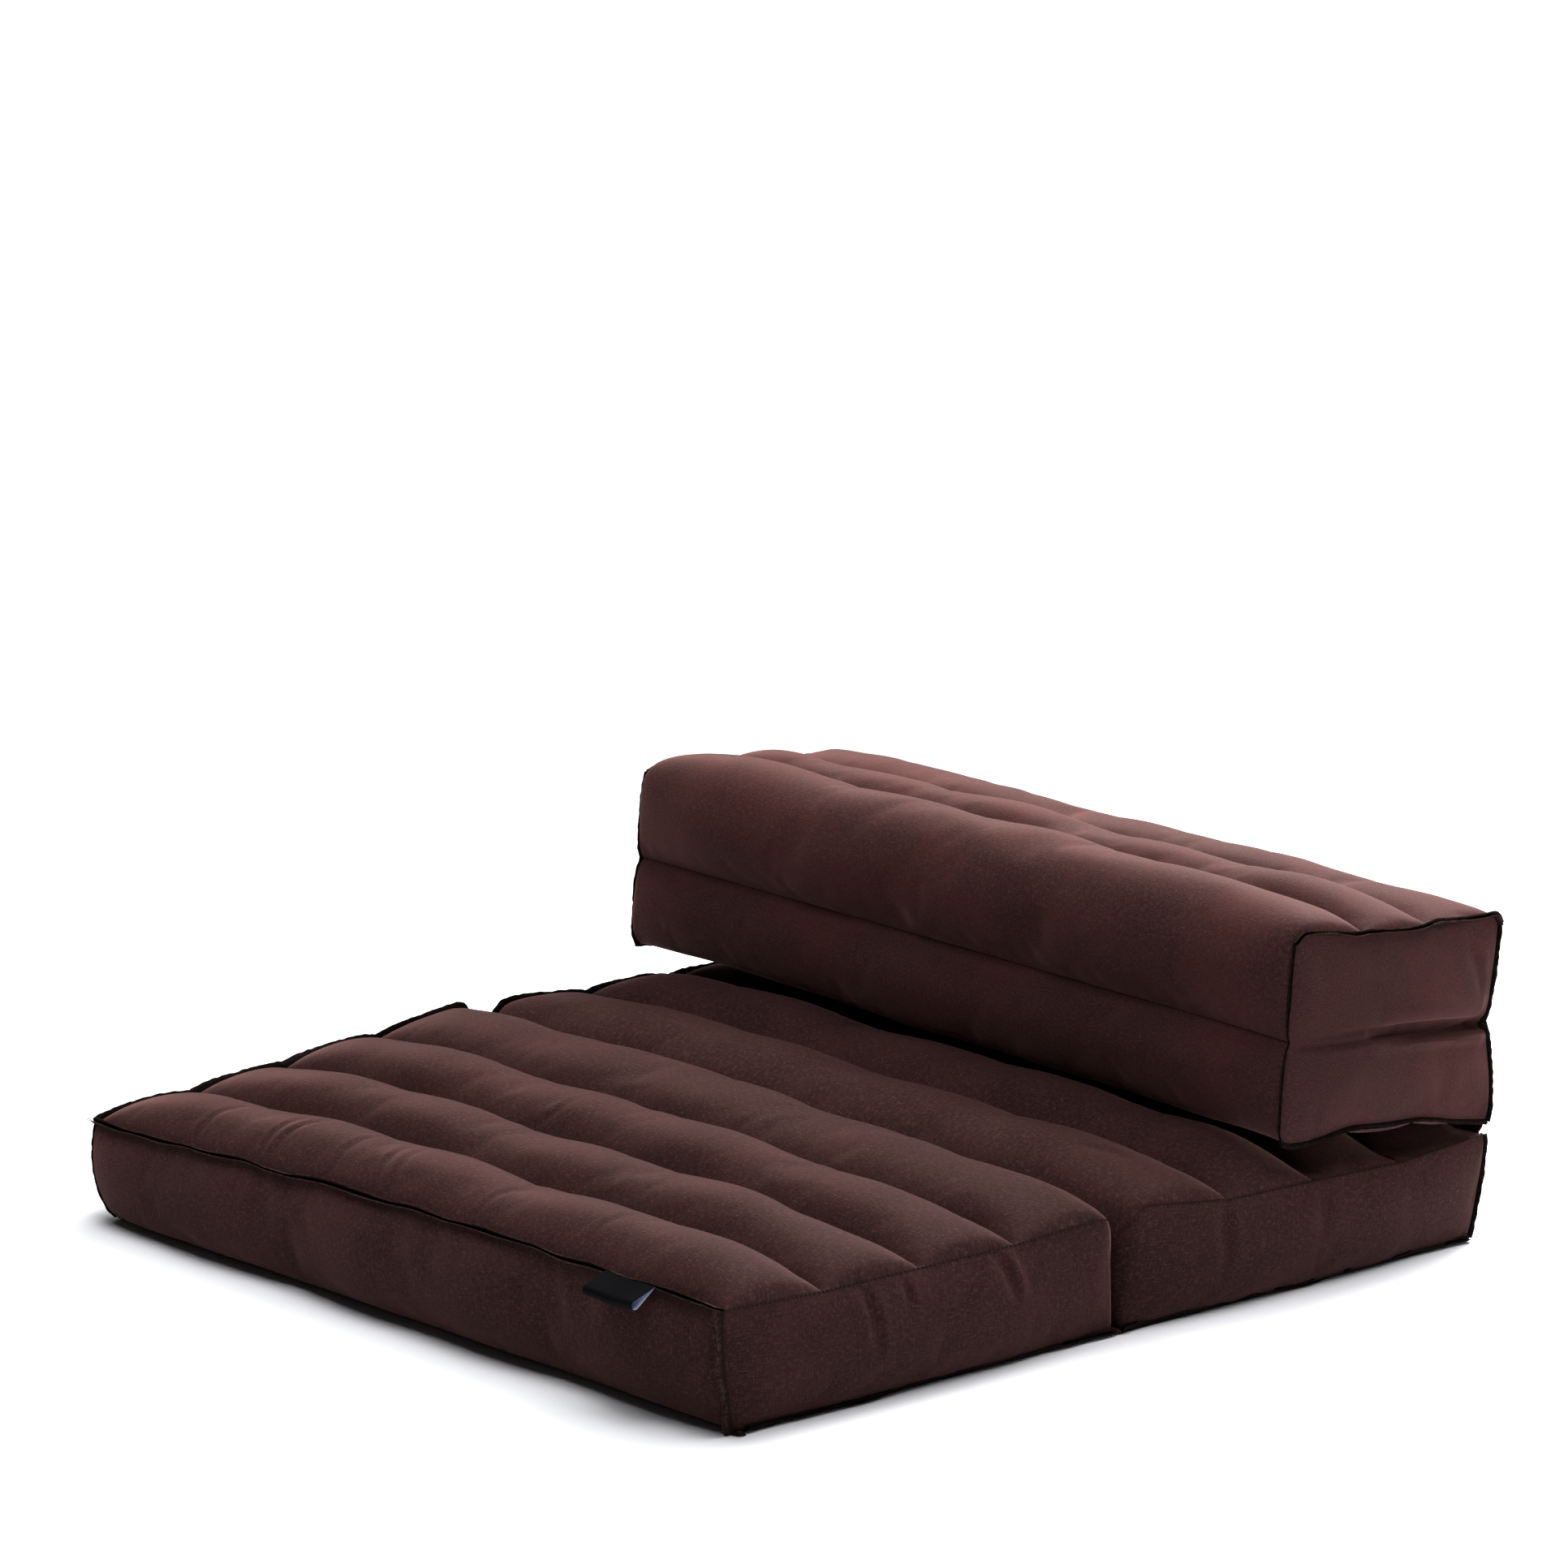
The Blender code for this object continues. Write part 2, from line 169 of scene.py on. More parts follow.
def even_path(points: Sequence[Sequence[float]], step: float, smoothing: int = 2) -> np.ndarray:
    """Points an even step apart along a line.

    Args:
        points: the line's points in order: x, y and z, and what else goes with each.
        step: distance between the new points, in metres.
        smoothing: how many times each point is averaged with its neighbours.

    Returns:
        One row for each new point.
    """
    line = np.array([tuple(point) for point in points], float)
    runs = np.linalg.norm(np.diff(line[:, :3], axis=0), axis=1)
    length = np.concatenate(([0.0], np.cumsum(runs)))
    count = max(4, round(length[-1] / step))
    stops = np.linspace(0, length[-1], count + 1)
    even = np.stack([np.interp(stops, length, column) for column in line.T], axis=1)
    for _ in range(smoothing):
        even[1:-1] = 0.25 * even[:-2] + 0.5 * even[1:-1] + 0.25 * even[2:]
    return even


def skin(
    bm: bmesh.types.BMesh,
    cloth_map: bmesh.types.BMLayerItem,
    rows: Sequence[Sequence[bmesh.types.BMVert]],
    places: Sequence[float],
    step: float,
    closed: bool = True,
) -> list[bmesh.types.BMFace]:
    """Faces between rows of points, each with its place in the cloth.

    Args:
        bm: the working mesh.
        cloth_map: the layer of places in the cloth.
        rows: the rows of points, all with the same number.
        places: each row's place in the cloth, in metres.
        step: distance between the points of a row, in metres.
        closed: whether each row closes on itself. The rows run across the cloth then, and otherwise along it.

    Returns:
        The faces, row by row.
    """
    faces = []
    count = len(rows[0])
    for row, following, near, far in zip(rows, rows[1:], places, places[1:]):
        for index in range(count if closed else count - 1):
            after = (index + 1) % count
            face = bm.faces.new((row[index], row[after], following[after], following[index]))
            low, high = index * step, (index + 1) * step
            for loop, uv in zip(face.loops, ((near, low), (near, high), (far, high), (far, low))):
                loop[cloth_map].uv = uv if closed else uv[::-1]
            faces.append(face)
    return faces


# Finishes


@dataclass(frozen=True)
class Finish:
    """A real finish as a procedural material.

    Attributes:
        name: the material's name.
    """

    name: str

    def surface(self, tree: bpy.types.NodeTree) -> Inputs:
        """A value or a socket for each input of the shader that this finish sets."""
        raise NotImplementedError

    def material(self) -> bpy.types.Material:
        """Build the material.

        Returns:
            The new material.
        """
        made = bpy.data.materials.new(self.name)
        made.use_nodes = True
        shader = made.node_tree.nodes["Principled BSDF"]
        for name, value in self.surface(made.node_tree).items():
            put(made.node_tree, shader.inputs[name], value)
        return made


@dataclass(frozen=True)
class PlainWovenCotton(Finish):
    """Piece-dyed cotton in plain weave, brushed by use.

    The eye sees a dull deep brown with redder and greyer clouds, a grain of fine threads, a few pale slubs
    that run along them, and a faint bloom of loose fibre where the light grazes a crown.

    Attributes:
        deep: colour in the deeper clouds.
        warm: colour in the redder clouds.
        worn: colour where the nap is rubbed paler.
        slub: colour of pale thick places in the threads.
        bloom: colour of the loose fibre.
        sheen: strength of the fibre bloom.
        thread_mm: spacing of the threads, drawn about twice as coarse as the real 0.5 mm so that it shows.
        slub_mm: length of a pale thick place.
        cloud_mm: width of a cloud in the dye.
    """

    deep: str = "#241414"
    warm: str = "#2c1818"
    worn: str = "#3b2723"
    slub: str = "#644b43"
    bloom: str = "#dca39b"
    sheen: float = 0.31
    thread_mm: float = 1.1
    slub_mm: float = 4.0
    cloud_mm: float = 85.0

    def surface(self, tree: bpy.types.NodeTree) -> Inputs:
        """Weave the threads, and lay the clouds, the wear and the slubs over one another.

        Args:
            tree: the material's node tree.

        Returns:
            A value or a socket for each input of the shader.
        """
        cloth = add_node(tree, "ShaderNodeUVMap", uv_map="cloth")
        place = add_node(tree, "ShaderNodeTexCoord", output="Object")
        grains = []
        for along_mm, across_mm, detail in (
            (self.thread_mm * 4, self.thread_mm, 2.0),
            (self.thread_mm, self.thread_mm * 4, 2.0),
            (self.slub_mm, self.thread_mm, 1.0),
            (self.thread_mm, self.slub_mm, 1.0),
        ):
            stretch = (per_metre(along_mm), per_metre(across_mm), 1.0)
            scaled = add_node(tree, "ShaderNodeVectorMath", {0: cloth, 1: stretch}, operation="MULTIPLY")
            pattern = {"Vector": scaled, "Scale": 1.0, "Detail": detail}
            grains.append(add_node(tree, "ShaderNodeTexNoise", pattern))
        clouds = []
        for width_mm, detail in ((self.cloud_mm, 3.0), (self.cloud_mm / 3, 4.0)):
            pattern = {"Vector": place, "Scale": per_metre(width_mm), "Detail": detail, "Roughness": 0.55}
            clouds.append(add_node(tree, "ShaderNodeTexNoise", pattern))
        threads = add_node(tree, "ShaderNodeMath", {0: grains[0], 1: grains[1]}, operation="ADD")
        colour: Rgba | bpy.types.NodeSocket = linear(self.deep)
        for pattern, low, high, most, over in (
            (clouds[0], 0.40, 0.62, 1.0, self.warm),
            (clouds[1], 0.50, 0.78, 0.2, self.worn),
            (threads, 0.80, 1.40, 0.6, self.worn),
            (grains[2], 0.54, 0.82, 0.26, self.slub),
            (grains[3], 0.54, 0.82, 0.26, self.slub),
        ):
            ramp = {0: pattern, 1: low, 2: high, 3: 0.0, 4: most}
            share = add_node(tree, "ShaderNodeMapRange", ramp, interpolation_type="SMOOTHSTEP")
            pair = {0: share, 6: colour, 7: linear(over)}
            colour = add_node(tree, "ShaderNodeMix", pair, 2, data_type="RGBA")
        relief = {"Height": threads, "Strength": 0.5, "Distance": self.thread_mm * 0.35 * MILLIMETRE}
        return {
            "Base Color": colour,
            "Normal": add_node(tree, "ShaderNodeBump", relief),
            "Roughness": 0.92,
            "Specular IOR Level": 0.05,
            "Sheen Weight": self.sheen,
            "Sheen Roughness": 0.38,
            "Sheen Tint": linear(self.bloom),
        }


@dataclass(frozen=True)
class CutClothEdge(Finish):
    """Cut edges of the same cotton that stand outside a seam, overlocked with dark thread.

    The eye sees a strip near black at its root, where the two layers shade each other, and a paler fuzzy rim.
    Both are painted: the dark root is painted shade between the layers, and the paler rim is partly fray and
    partly painted highlight.

    Attributes:
        root: colour in the seam, painted shade where the two layers shade each other.
        rim: colour of the frayed rim, partly fray and partly painted highlight.
        fray_mm: width of a tuft of fray.
    """

    root: str
    rim: str
    fray_mm: float = 2.5

    def surface(self, tree: bpy.types.NodeTree) -> Inputs:
        """Fray the rim.

        Args:
            tree: the material's node tree.

        Returns:
            A value or a socket for each input of the shader.
        """
        rim = add_node(tree, "ShaderNodeAttribute", output="Fac", attribute_name="rim")
        place = add_node(tree, "ShaderNodeTexCoord", output="Object")
        pattern = {"Vector": place, "Scale": per_metre(self.fray_mm), "Detail": 3.0}
        fray = add_node(tree, "ShaderNodeTexNoise", pattern)
        uneven = add_node(tree, "ShaderNodeMath", {0: rim, 1: fray}, operation="MULTIPLY")
        ramp = {0: uneven, 1: 0.25, 2: 0.62}
        share = add_node(tree, "ShaderNodeMapRange", ramp, interpolation_type="SMOOTHSTEP")
        # Painted shade at the root, running into a rim that is partly fray and partly painted highlight.
        pair = {0: share, 6: linear(self.root), 7: linear(self.rim)}
        relief = {"Height": fray, "Strength": 0.5, "Distance": 0.3 * MILLIMETRE}
        return {
            "Base Color": add_node(tree, "ShaderNodeMix", pair, 2, data_type="RGBA"),
            "Normal": add_node(tree, "ShaderNodeBump", relief),
            "Roughness": 0.95,
            "Specular IOR Level": 0.05,
        }


@dataclass(frozen=True)
class SpunSewingThread(Finish):
    """Spun polyester sewing thread, dyed darker than the cloth.

    The eye sees a row of small dull dashes, darker than the cloth. That darkness is partly the thread's dye
    and partly painted shade of the narrow groove along the seam.

    Attributes:
        colour: colour of the thread, darkened with painted shade of the seam's groove.
        shade: colour in the hollows of its twist.
        twist_mm: length of one turn of the twist.
    """

    colour: str
    shade: str
    twist_mm: float = 0.8

    def surface(self, tree: bpy.types.NodeTree) -> Inputs:
        """Shade the hollows of the twist.

        Args:
            tree: the material's node tree.

        Returns:
            A value or a socket for each input of the shader.
        """
        place = add_node(tree, "ShaderNodeTexCoord", output="Object")
        pattern = {"Vector": place, "Scale": per_metre(self.twist_mm), "Detail": 1.0}
        twist = add_node(tree, "ShaderNodeTexNoise", pattern)
        pair = {0: twist, 6: linear(self.shade), 7: linear(self.colour)}
        return {
            "Base Color": add_node(tree, "ShaderNodeMix", pair, 2, data_type="RGBA"),
            "Roughness": 0.8,
            "Specular IOR Level": 0.1,
        }


@dataclass(frozen=True)
class SatinWovenTape(Finish):
    """Polyester label tape in satin weave.

    The eye sees a smooth even face with a soft gloss and a very fine rib across the tape.

    Attributes:
        colour: colour of the face.
        rib_colour: colour of the paler picks.
        rib_mm: spacing of the picks, drawn at about twice the real 0.25 mm so that it shows.
    """

    colour: str
    rib_colour: str
    rib_mm: float = 0.5

    def surface(self, tree: bpy.types.NodeTree) -> Inputs:
        """Lay the ribs across the tape.

        Args:
            tree: the material's node tree.

        Returns:
            A value or a socket for each input of the shader.
        """
        cloth = add_node(tree, "ShaderNodeUVMap", uv_map="cloth")
        stretch = (per_metre(self.rib_mm * 5), per_metre(self.rib_mm), 1.0)
        scaled = add_node(tree, "ShaderNodeVectorMath", {0: cloth, 1: stretch}, operation="MULTIPLY")
        ribs = add_node(tree, "ShaderNodeTexNoise", {"Vector": scaled, "Scale": 1.0, "Detail": 1.0})
        pair = {0: ribs, 6: linear(self.colour), 7: linear(self.rib_colour)}
        relief = {"Height": ribs, "Strength": 0.3, "Distance": 0.1 * MILLIMETRE}
        return {
            "Base Color": add_node(tree, "ShaderNodeMix", pair, 2, data_type="RGBA"),
            "Normal": add_node(tree, "ShaderNodeBump", relief),
            "Roughness": 0.7,
            "Specular IOR Level": 0.03,
        }


# Cushions


class Corner(NamedTuple):
    """A corner line's place in a cushion's section, from the front edge and the floor."""

    y: float
    z: float


class Side(Enum):
    """The four sides of a cushion's section, in the order in which its outline runs."""

    FRONT = 0
    TOP = 1
    REAR = 2
    FOOT = 3


class Line(Enum):
    """The four corner lines along the channels. Each is where the side of the same number starts."""

    FRONT_FOOT = 0
    FRONT_TOP = 1
    REAR_TOP = 2
    REAR_FOOT = 3


class End(Enum):
    """The two end panels, by the side of the middle that they are on."""

    LEFT = -1
    RIGHT = 1


class Seam(NamedTuple):
    """A seam: along the channels where end is None, and otherwise along one side of an end panel."""

    end: End | None
    along: Line | Side


class Trim(Enum):
    """How the cloth is finished outside a seam."""

    BROWN = "cut edges of brown cloth"
    # The near-black edges below are partly black thread and partly painted shade of the seams that they lie
    # in.
    DARK = "cut edges overlocked in black"
    UPRIGHT = "cut edges overlocked in black, which stand up"
    NARROW = "cut edges overlocked in black and trimmed close to the seam"
    STITCHED = "edges turned in, with a row of stitches"


@dataclass(frozen=True)
class EndOutline:
    """Corners of a cushion's section at one end, and how its channels fill up from there.

    Attributes:
        front_foot: corner at the front on the underside.
        front_top: corner at the front on top.
        rear_top: corner at the rear on top.
        rear_foot: corner at the rear on the underside.
        arch: rise of the top seam at each channel, as a share of the channel's crown.
        dip: how far that seam is drawn in where the stitch lines meet it.
        foot_arch: how far the foot seam is drawn up there.
        taper: length over which the channels fill up.
        roundness: 2 for an elliptic taper, and more for a fuller one.
        pressed: exponent of that for each channel, over 1 where the block's end weighs it down.
    """

    front_foot: Corner
    front_top: Corner
    rear_top: Corner
    rear_foot: Corner
    arch: float = 0.0
    dip: float = 0.003
    foot_arch: float = 0.0
    taper: float = 0.095
    roundness: float = 2.4
    pressed: tuple[float, ...] = (1.0, 1.0, 1.0, 1.0)

    def corner(self, line: Line) -> Vector:
        """A corner as a (y, z) vector."""
        return Vector((self.front_foot, self.front_top, self.rear_top, self.rear_foot)[line.value])


@dataclass(frozen=True)
class Crease:
    """A soft trough in the cloth, beside a low ridge.

    Attributes:
        facing: the way that the creased cloth faces.
        start: where it starts, in the two axes across that way, in world metres.
        end: where it ends.
        depth: depth at its deepest, and negative for a ridge.
        width: half its width.
        bend: how far its middle bows to the side.
        ridge: height of the ridge beside it, as a share of its depth.
        ridge_off: how far off that ridge is, in half widths.
        blunt: share of its fade that is skipped at its start, which so has about half its depth.
        fade: exponent of that fade.
    """

    facing: Place
    start: tuple[float, float]
    end: tuple[float, float]
    depth: float
    width: float
    bend: float = 0.0
    ridge: float = 0.45
    ridge_off: float = 1.7
    blunt: float = 0.15
    fade: float = 0.8


@dataclass(frozen=True)
class Bundle:
    """Sizes of one cushion, a bundle of filled channels sewn side by side.

    What a size has as its default is what the floor cushions have.

    Attributes:
        name: name of the solid that it stands for.
        slot: material slot of the record.
        left: corners at the left end.
        right: corners at the right end.
        crowns: rise of each channel's crown above its stitch lines.
        front_bulge: how far the front wall stands out.
        rear_bulge: how far the rear wall stands out.
        foot_draw_in: how far the end panels' feet are drawn in.
        bow: rise of the top corner lines at mid-length.
        rounded: corner lines with no seam, where cloth just turns the corner.
        trims: finish of each seam.
        creases: creases, listed one by one.
        phase: where the random-looking waves of this cushion start.
        columns: channels side by side.
        rows: channels one above the other.
        sink: how far the stitch lines on top are drawn in.
        wall_sink: how far those on the walls are drawn in.
        foot_crown: rise of the channels on the underside.
        foot_sink: how far the stitch lines there are drawn in.
        rear_pinch: how far the middle seam of the rear wall is drawn in at the ends too.
        end_bulge: how far the end panels stand out.
        end_valley: depth of the valley across the end panels.
        end_wall_share: share of the walls' bulge that is left in the seams of the end panels.
        radius: radius of the rounded corner lines.
        under_radius: radius where a rounded front wall turns under.
        foot_round: radius of the soft lower edge of the front wall, at the left and the right end.
        foot_corner: how far the left front corner is drawn in at the floor.
    """

    name: str
    slot: str
    left: EndOutline
    right: EndOutline
    crowns: tuple[float, ...]
    front_bulge: float
    rear_bulge: float
    foot_draw_in: float
    bow: float
    rounded: tuple[Line, ...]
    trims: Mapping[Seam, Trim]
    creases: tuple[Crease, ...]
    phase: float
    columns: int = 4
    rows: int = 1
    sink: float = 0.006
    wall_sink: float = 0.0
    foot_crown: float = 0.008
    foot_sink: float = 0.005
    rear_pinch: float = 0.0
    end_bulge: float = 0.011
    end_valley: float = 0.0
    end_wall_share: float = 0.3
    radius: float = 0.026
    under_radius: float = 0.0
    foot_round: tuple[float, float] = (0.0, 0.0)
    foot_corner: float = 0.0


class Node(NamedTuple):
    """A corner or stitch line in a section, with the rise of the cloth that starts there."""

    place: Vector
    bulge: float
    rounded: bool


def outward(direction: Vector) -> Vector:
    """Normal of a direction in the (y, z) plane, pointing out of the section's outline."""
    return Vector((-direction.y, direction.x)).normalized()


@dataclass
class SectionCurve:
    """Outline of a cushion across its channels.

    Attributes:
        bundle: the cushion's sizes.
        facets: points in each channel's width.
        stitch_crowding: how far the points are drawn towards the stitch lines.
        run_squareness: 2 for an elliptic crown, and more for a flatter one.
        corner_squareness: the same for cloth that turns a corner.
        crown_steepness: exponent of the crown's rise, lower for steeper sides.
        corner_steps: steps round a rounded corner.
        end_radius_share: radius of a rounded corner at the ends, as a share.
        waves: (rise, waves in the length, shift) of the filling's unevenness.
        channel_shift: from one channel to the next, in radians.
    """

    bundle: Bundle
    facets: int = 14
    stitch_crowding: float = 0.5
    run_squareness: float = 2.2
    corner_squareness: float = 3.4
    crown_steepness: float = 0.6
    corner_steps: int = 8
    end_radius_share: float = 0.22
    waves: tuple[tuple[float, float, float], ...] = ((0.0018, 2.1, 1.0), (0.0016, 4.7, 2.3))
    channel_shift: float = 1.9

    def nearest_end(self, along: float) -> EndOutline:
        """The end that a share of the length is nearer to."""
        return self.bundle.left if along < 0.5 else self.bundle.right

    def fullness(self, along: float) -> float:
        """How full a channel is at a share of its length: 0 in the end seams, 1 past the taper.

        Args:
            along: share of the cushion's length, from its left end.

        Returns:
            The share.
        """
        end = self.nearest_end(along)
        from_end = min(along, 1 - along) * 2 * HALF_LENGTH
        near = max(0.0, 1 - from_end / end.taper)
        return (1 - near**end.roundness) ** (1 / end.roundness)

    def unevenness(self, along: float, number: int) -> float:
        """Rise and fall of the hand-stuffed filling along one channel."""
        start = self.bundle.phase + self.channel_shift * number
        return sum(rise * sin(2 * pi * along * count + shift * start) for rise, count, shift in self.waves)

    def corners(self, along: float) -> list[Vector]:
        """The four corners at a share of the length, as (y, z) vectors.

        Args:
            along: share of the cushion's length, from its left end.

        Returns:
            The corners, in the order of Line.
        """
        places = []
        for line in Line:
            place = self.bundle.left.corner(line).lerp(self.bundle.right.corner(line), along)
            if line in (Line.FRONT_TOP, Line.REAR_TOP):
                place.y += self.bundle.bow * sin(pi * along)
            places.append(place)
        return places

    def nodes(self, along: float) -> list[Node]:
        """Corners and stitch lines around the section, up the front and back along the foot.

        Args:
            along: share of the cushion's length, from its left end.

        Returns:
            The nodes in order.
        """
        bundle, end = self.bundle, self.nearest_end(along)
        full, corners = self.fullness(along), self.corners(along)
        wall_full = mix(bundle.end_wall_share, 1.0, full)
        tops = [crown * mix(end.arch, 1.0, full**power) for crown, power in zip(bundle.crowns, end.pressed)]
        sides = (
            ([bundle.front_bulge * wall_full] * bundle.rows, bundle.wall_sink * full),
            (tops, mix(end.dip, bundle.sink, full)),
            ([bundle.rear_bulge * wall_full] * bundle.rows, bundle.wall_sink * full + bundle.rear_pinch),
            ([bundle.foot_crown * full] * bundle.columns, mix(end.foot_arch, bundle.foot_sink, full)),
        )
        found: list[Node] = []
        for side, (bulges, sink) in enumerate(sides):
            start, stop = corners[side], corners[(side + 1) % len(corners)]
            inward = -outward(stop - start)
            for cell, bulge in enumerate(bulges):
                uneven = self.unevenness(along, len(found)) * full
                place = start.lerp(stop, cell / len(bulges)) + inward * (sink if cell else 0.0)
                found.append(Node(place, bulge + uneven, cell == 0 and Line(side) in bundle.rounded))
        return found

    def corner_path(self, places: Sequence[Vector], radius: float) -> list[tuple[Vector, Vector]]:
        """Straight run, or two runs joined by an arc.

        Args:
            places: two nodes, or three with the rounded corner in the middle.
            radius: radius of the arc.

        Returns:
            Each point with its outward normal.
        """
        if len(places) == 2:
            normal = outward(places[1] - places[0])
            return [(places[0], normal), (places[1], normal)]
        start, corner, end = places
        before = (corner - start).normalized()
        after = (end - corner).normalized()
        centre = corner - before * radius + after * radius
        path = [(start, outward(before))]
        for step in range(self.corner_steps + 1):
            turn = 0.5 * pi * step / self.corner_steps
            spoke = before * sin(turn) - after * cos(turn)
            path.append((centre + spoke * radius, spoke))
        path.append((end, outward(after)))
        return path

    @staticmethod
    def along_path(path: Sequence[tuple[Vector, Vector]], share: float) -> tuple[Vector, Vector]:
        """Place and outward normal at a share of the path's length.

        Args:
            path: points with their normals.
            share: share of its length.

        Returns:
            The place and the normal.
        """
        lengths = [(end[0] - start[0]).length for start, end in zip(path, path[1:])]
        distance = share * sum(lengths)
        for start, end, length in zip(path, path[1:], lengths):
            if distance <= length or end is path[-1]:
                part = min(1.0, distance / length)
                return start[0].lerp(end[0], part), start[1].lerp(end[1], part).normalized()
            distance -= length
        return path[-1]

    def run(self, nodes: Sequence[Node], radius: float, facets: int) -> list[Vector]:
        """Points of the cloth from one drawn-in node to the next, without the last point.

        Args:
            nodes: two nodes, or three with a rounded corner in the middle.
            radius: radius of that corner.
            facets: how many points the run has.

        Returns:
            The points.
        """
        path = self.corner_path([node.place for node in nodes], radius)
        squareness = self.run_squareness if len(nodes) == 2 else self.corner_squareness
        points = []
        for index in range(facets):
            share = crowded(index, facets, self.stitch_crowding)
            place, normal = self.along_path(path, share)
            rise = mix(nodes[0].bulge, nodes[-2].bulge, share)
            points.append(place + normal * rise * pillow(share, squareness, self.crown_steepness))
        return points

    def outline(self, along: float) -> list[Vector]:
        """Outline across the channels at a share of their length, as (y, z) points from the front foot.

        Args:
            along: share of the cushion's length, from its left end.

        Returns:
            The points in order.
        """
        nodes = self.nodes(along)
        radius_share = mix(self.end_radius_share, 1.0, self.fullness(along))
        total = len(nodes) * self.facets
        found = [Vector((0.0, 0.0))] * total
        for number, node in enumerate(nodes):
            if node.rounded:
                continue
            following = (number + 1) % len(nodes)
            run = [node, nodes[following]]
            if run[1].rounded:
                run.append(nodes[(number + 2) % len(nodes)])
            radius = self.bundle.radius if following else self.bundle.under_radius
            points = self.run(run, radius * radius_share, self.facets * (len(run) - 1))
            for step, point in enumerate(points):
                found[(number * self.facets + step) % total] = point
        return found


def fins(trim: Trim, *seams: tuple[End | None, Line | Side]) -> dict[Seam, Trim]:
    """The same finish for several seams."""
    return {Seam(*seam): trim for seam in seams}


UPWARD: Place = (0.0, 0.0, 1.0)
FORWARD: Place = (0.0, -1.0, 0.0)
RIGHTWARD: Place = (1.0, 0.0, 0.0)

FRONT_CUSHION = Bundle(
    name="front_cushion",
    slot="cushion_cotton",
    left=EndOutline(
        Corner(-0.004, 0.0),
        Corner(-0.002, 0.069),
        Corner(0.336, 0.097),
        Corner(0.349, 0.0),
        arch=0.16,
        taper=0.150,
        roundness=1.9,
    ),
    right=EndOutline(Corner(0.014, 0.0), Corner(-0.002, 0.088), Corner(0.338, 0.086), Corner(0.349, 0.0)),
    crowns=(0.025, 0.026, 0.026, 0.025),
    front_bulge=0.013,
    rear_bulge=0.006,
    foot_draw_in=0.008,
    bow=0.006,
    foot_round=(0.010, 0.006),
    foot_corner=0.012,
    rounded=(Line.REAR_TOP,),
    trims={
        **fins(Trim.BROWN, (None, Line.FRONT_TOP), (End.RIGHT, Side.FRONT)),
        **fins(Trim.UPRIGHT, (End.LEFT, Side.TOP)),
        **fins(Trim.NARROW, (End.LEFT, Side.FRONT)),
        **fins(Trim.DARK, (End.LEFT, Side.FOOT), (End.RIGHT, Side.FOOT)),
        **fins(Trim.STITCHED, (End.RIGHT, Side.TOP)),
    },
    creases=(
        Crease(UPWARD, (-0.233, -0.347), (-0.226, -0.300), 0.0009, 0.0035, 0.004),
        Crease(UPWARD, (-0.155, -0.347), (-0.151, -0.306), 0.0012, 0.0026, 0.004),
        Crease(UPWARD, (-0.144, -0.347), (-0.126, -0.296), 0.0013, 0.0026, 0.005),
        Crease(UPWARD, (-0.073, -0.347), (-0.070, -0.298), 0.0012, 0.0026, 0.006),
        Crease(UPWARD, (-0.023, -0.347), (-0.031, -0.303), 0.0012, 0.0026, 0.005),
        Crease(UPWARD, (-0.006, -0.347), (-0.017, -0.306), 0.0010, 0.0026, 0.004),
        Crease(UPWARD, (0.087, -0.347), (0.096, -0.308), 0.0008, 0.0030, 0.003),
        Crease(UPWARD, (0.200, -0.340), (0.205, -0.305), 0.0006, 0.0040, 0.002),
        Crease(UPWARD, (-0.060, -0.178), (-0.048, -0.150), 0.0009, 0.0030, -0.003),
        Crease(UPWARD, (0.050, -0.100), (0.070, -0.060), 0.0008, 0.0035, 0.003),
        Crease(RIGHTWARD, (-0.238, 0.088), (-0.226, 0.028), 0.0030, 0.0035, 0.002),
        Crease(RIGHTWARD, (-0.202, 0.086), (-0.198, 0.058), 0.0024, 0.0030, 0.001),
        Crease(RIGHTWARD, (-0.120, 0.086), (-0.103, 0.044), 0.0032, 0.0040, 0.003),
        Crease(RIGHTWARD, (-0.338, 0.082), (-0.318, 0.062), 0.0010, 0.0030, 0.002),
        Crease(RIGHTWARD, (-0.322, 0.084), (-0.308, 0.070), 0.0009, 0.0030, 0.001),
        Crease(FORWARD, (0.180, 0.080), (0.187, 0.040), 0.0008, 0.008, 0.002),
        Crease(FORWARD, (0.020, 0.078), (0.024, 0.040), 0.0007, 0.009, 0.002),
        Crease(FORWARD, (-0.140, 0.072), (-0.137, 0.038), 0.0007, 0.009, -0.002),
    ),
    phase=0.4,
)

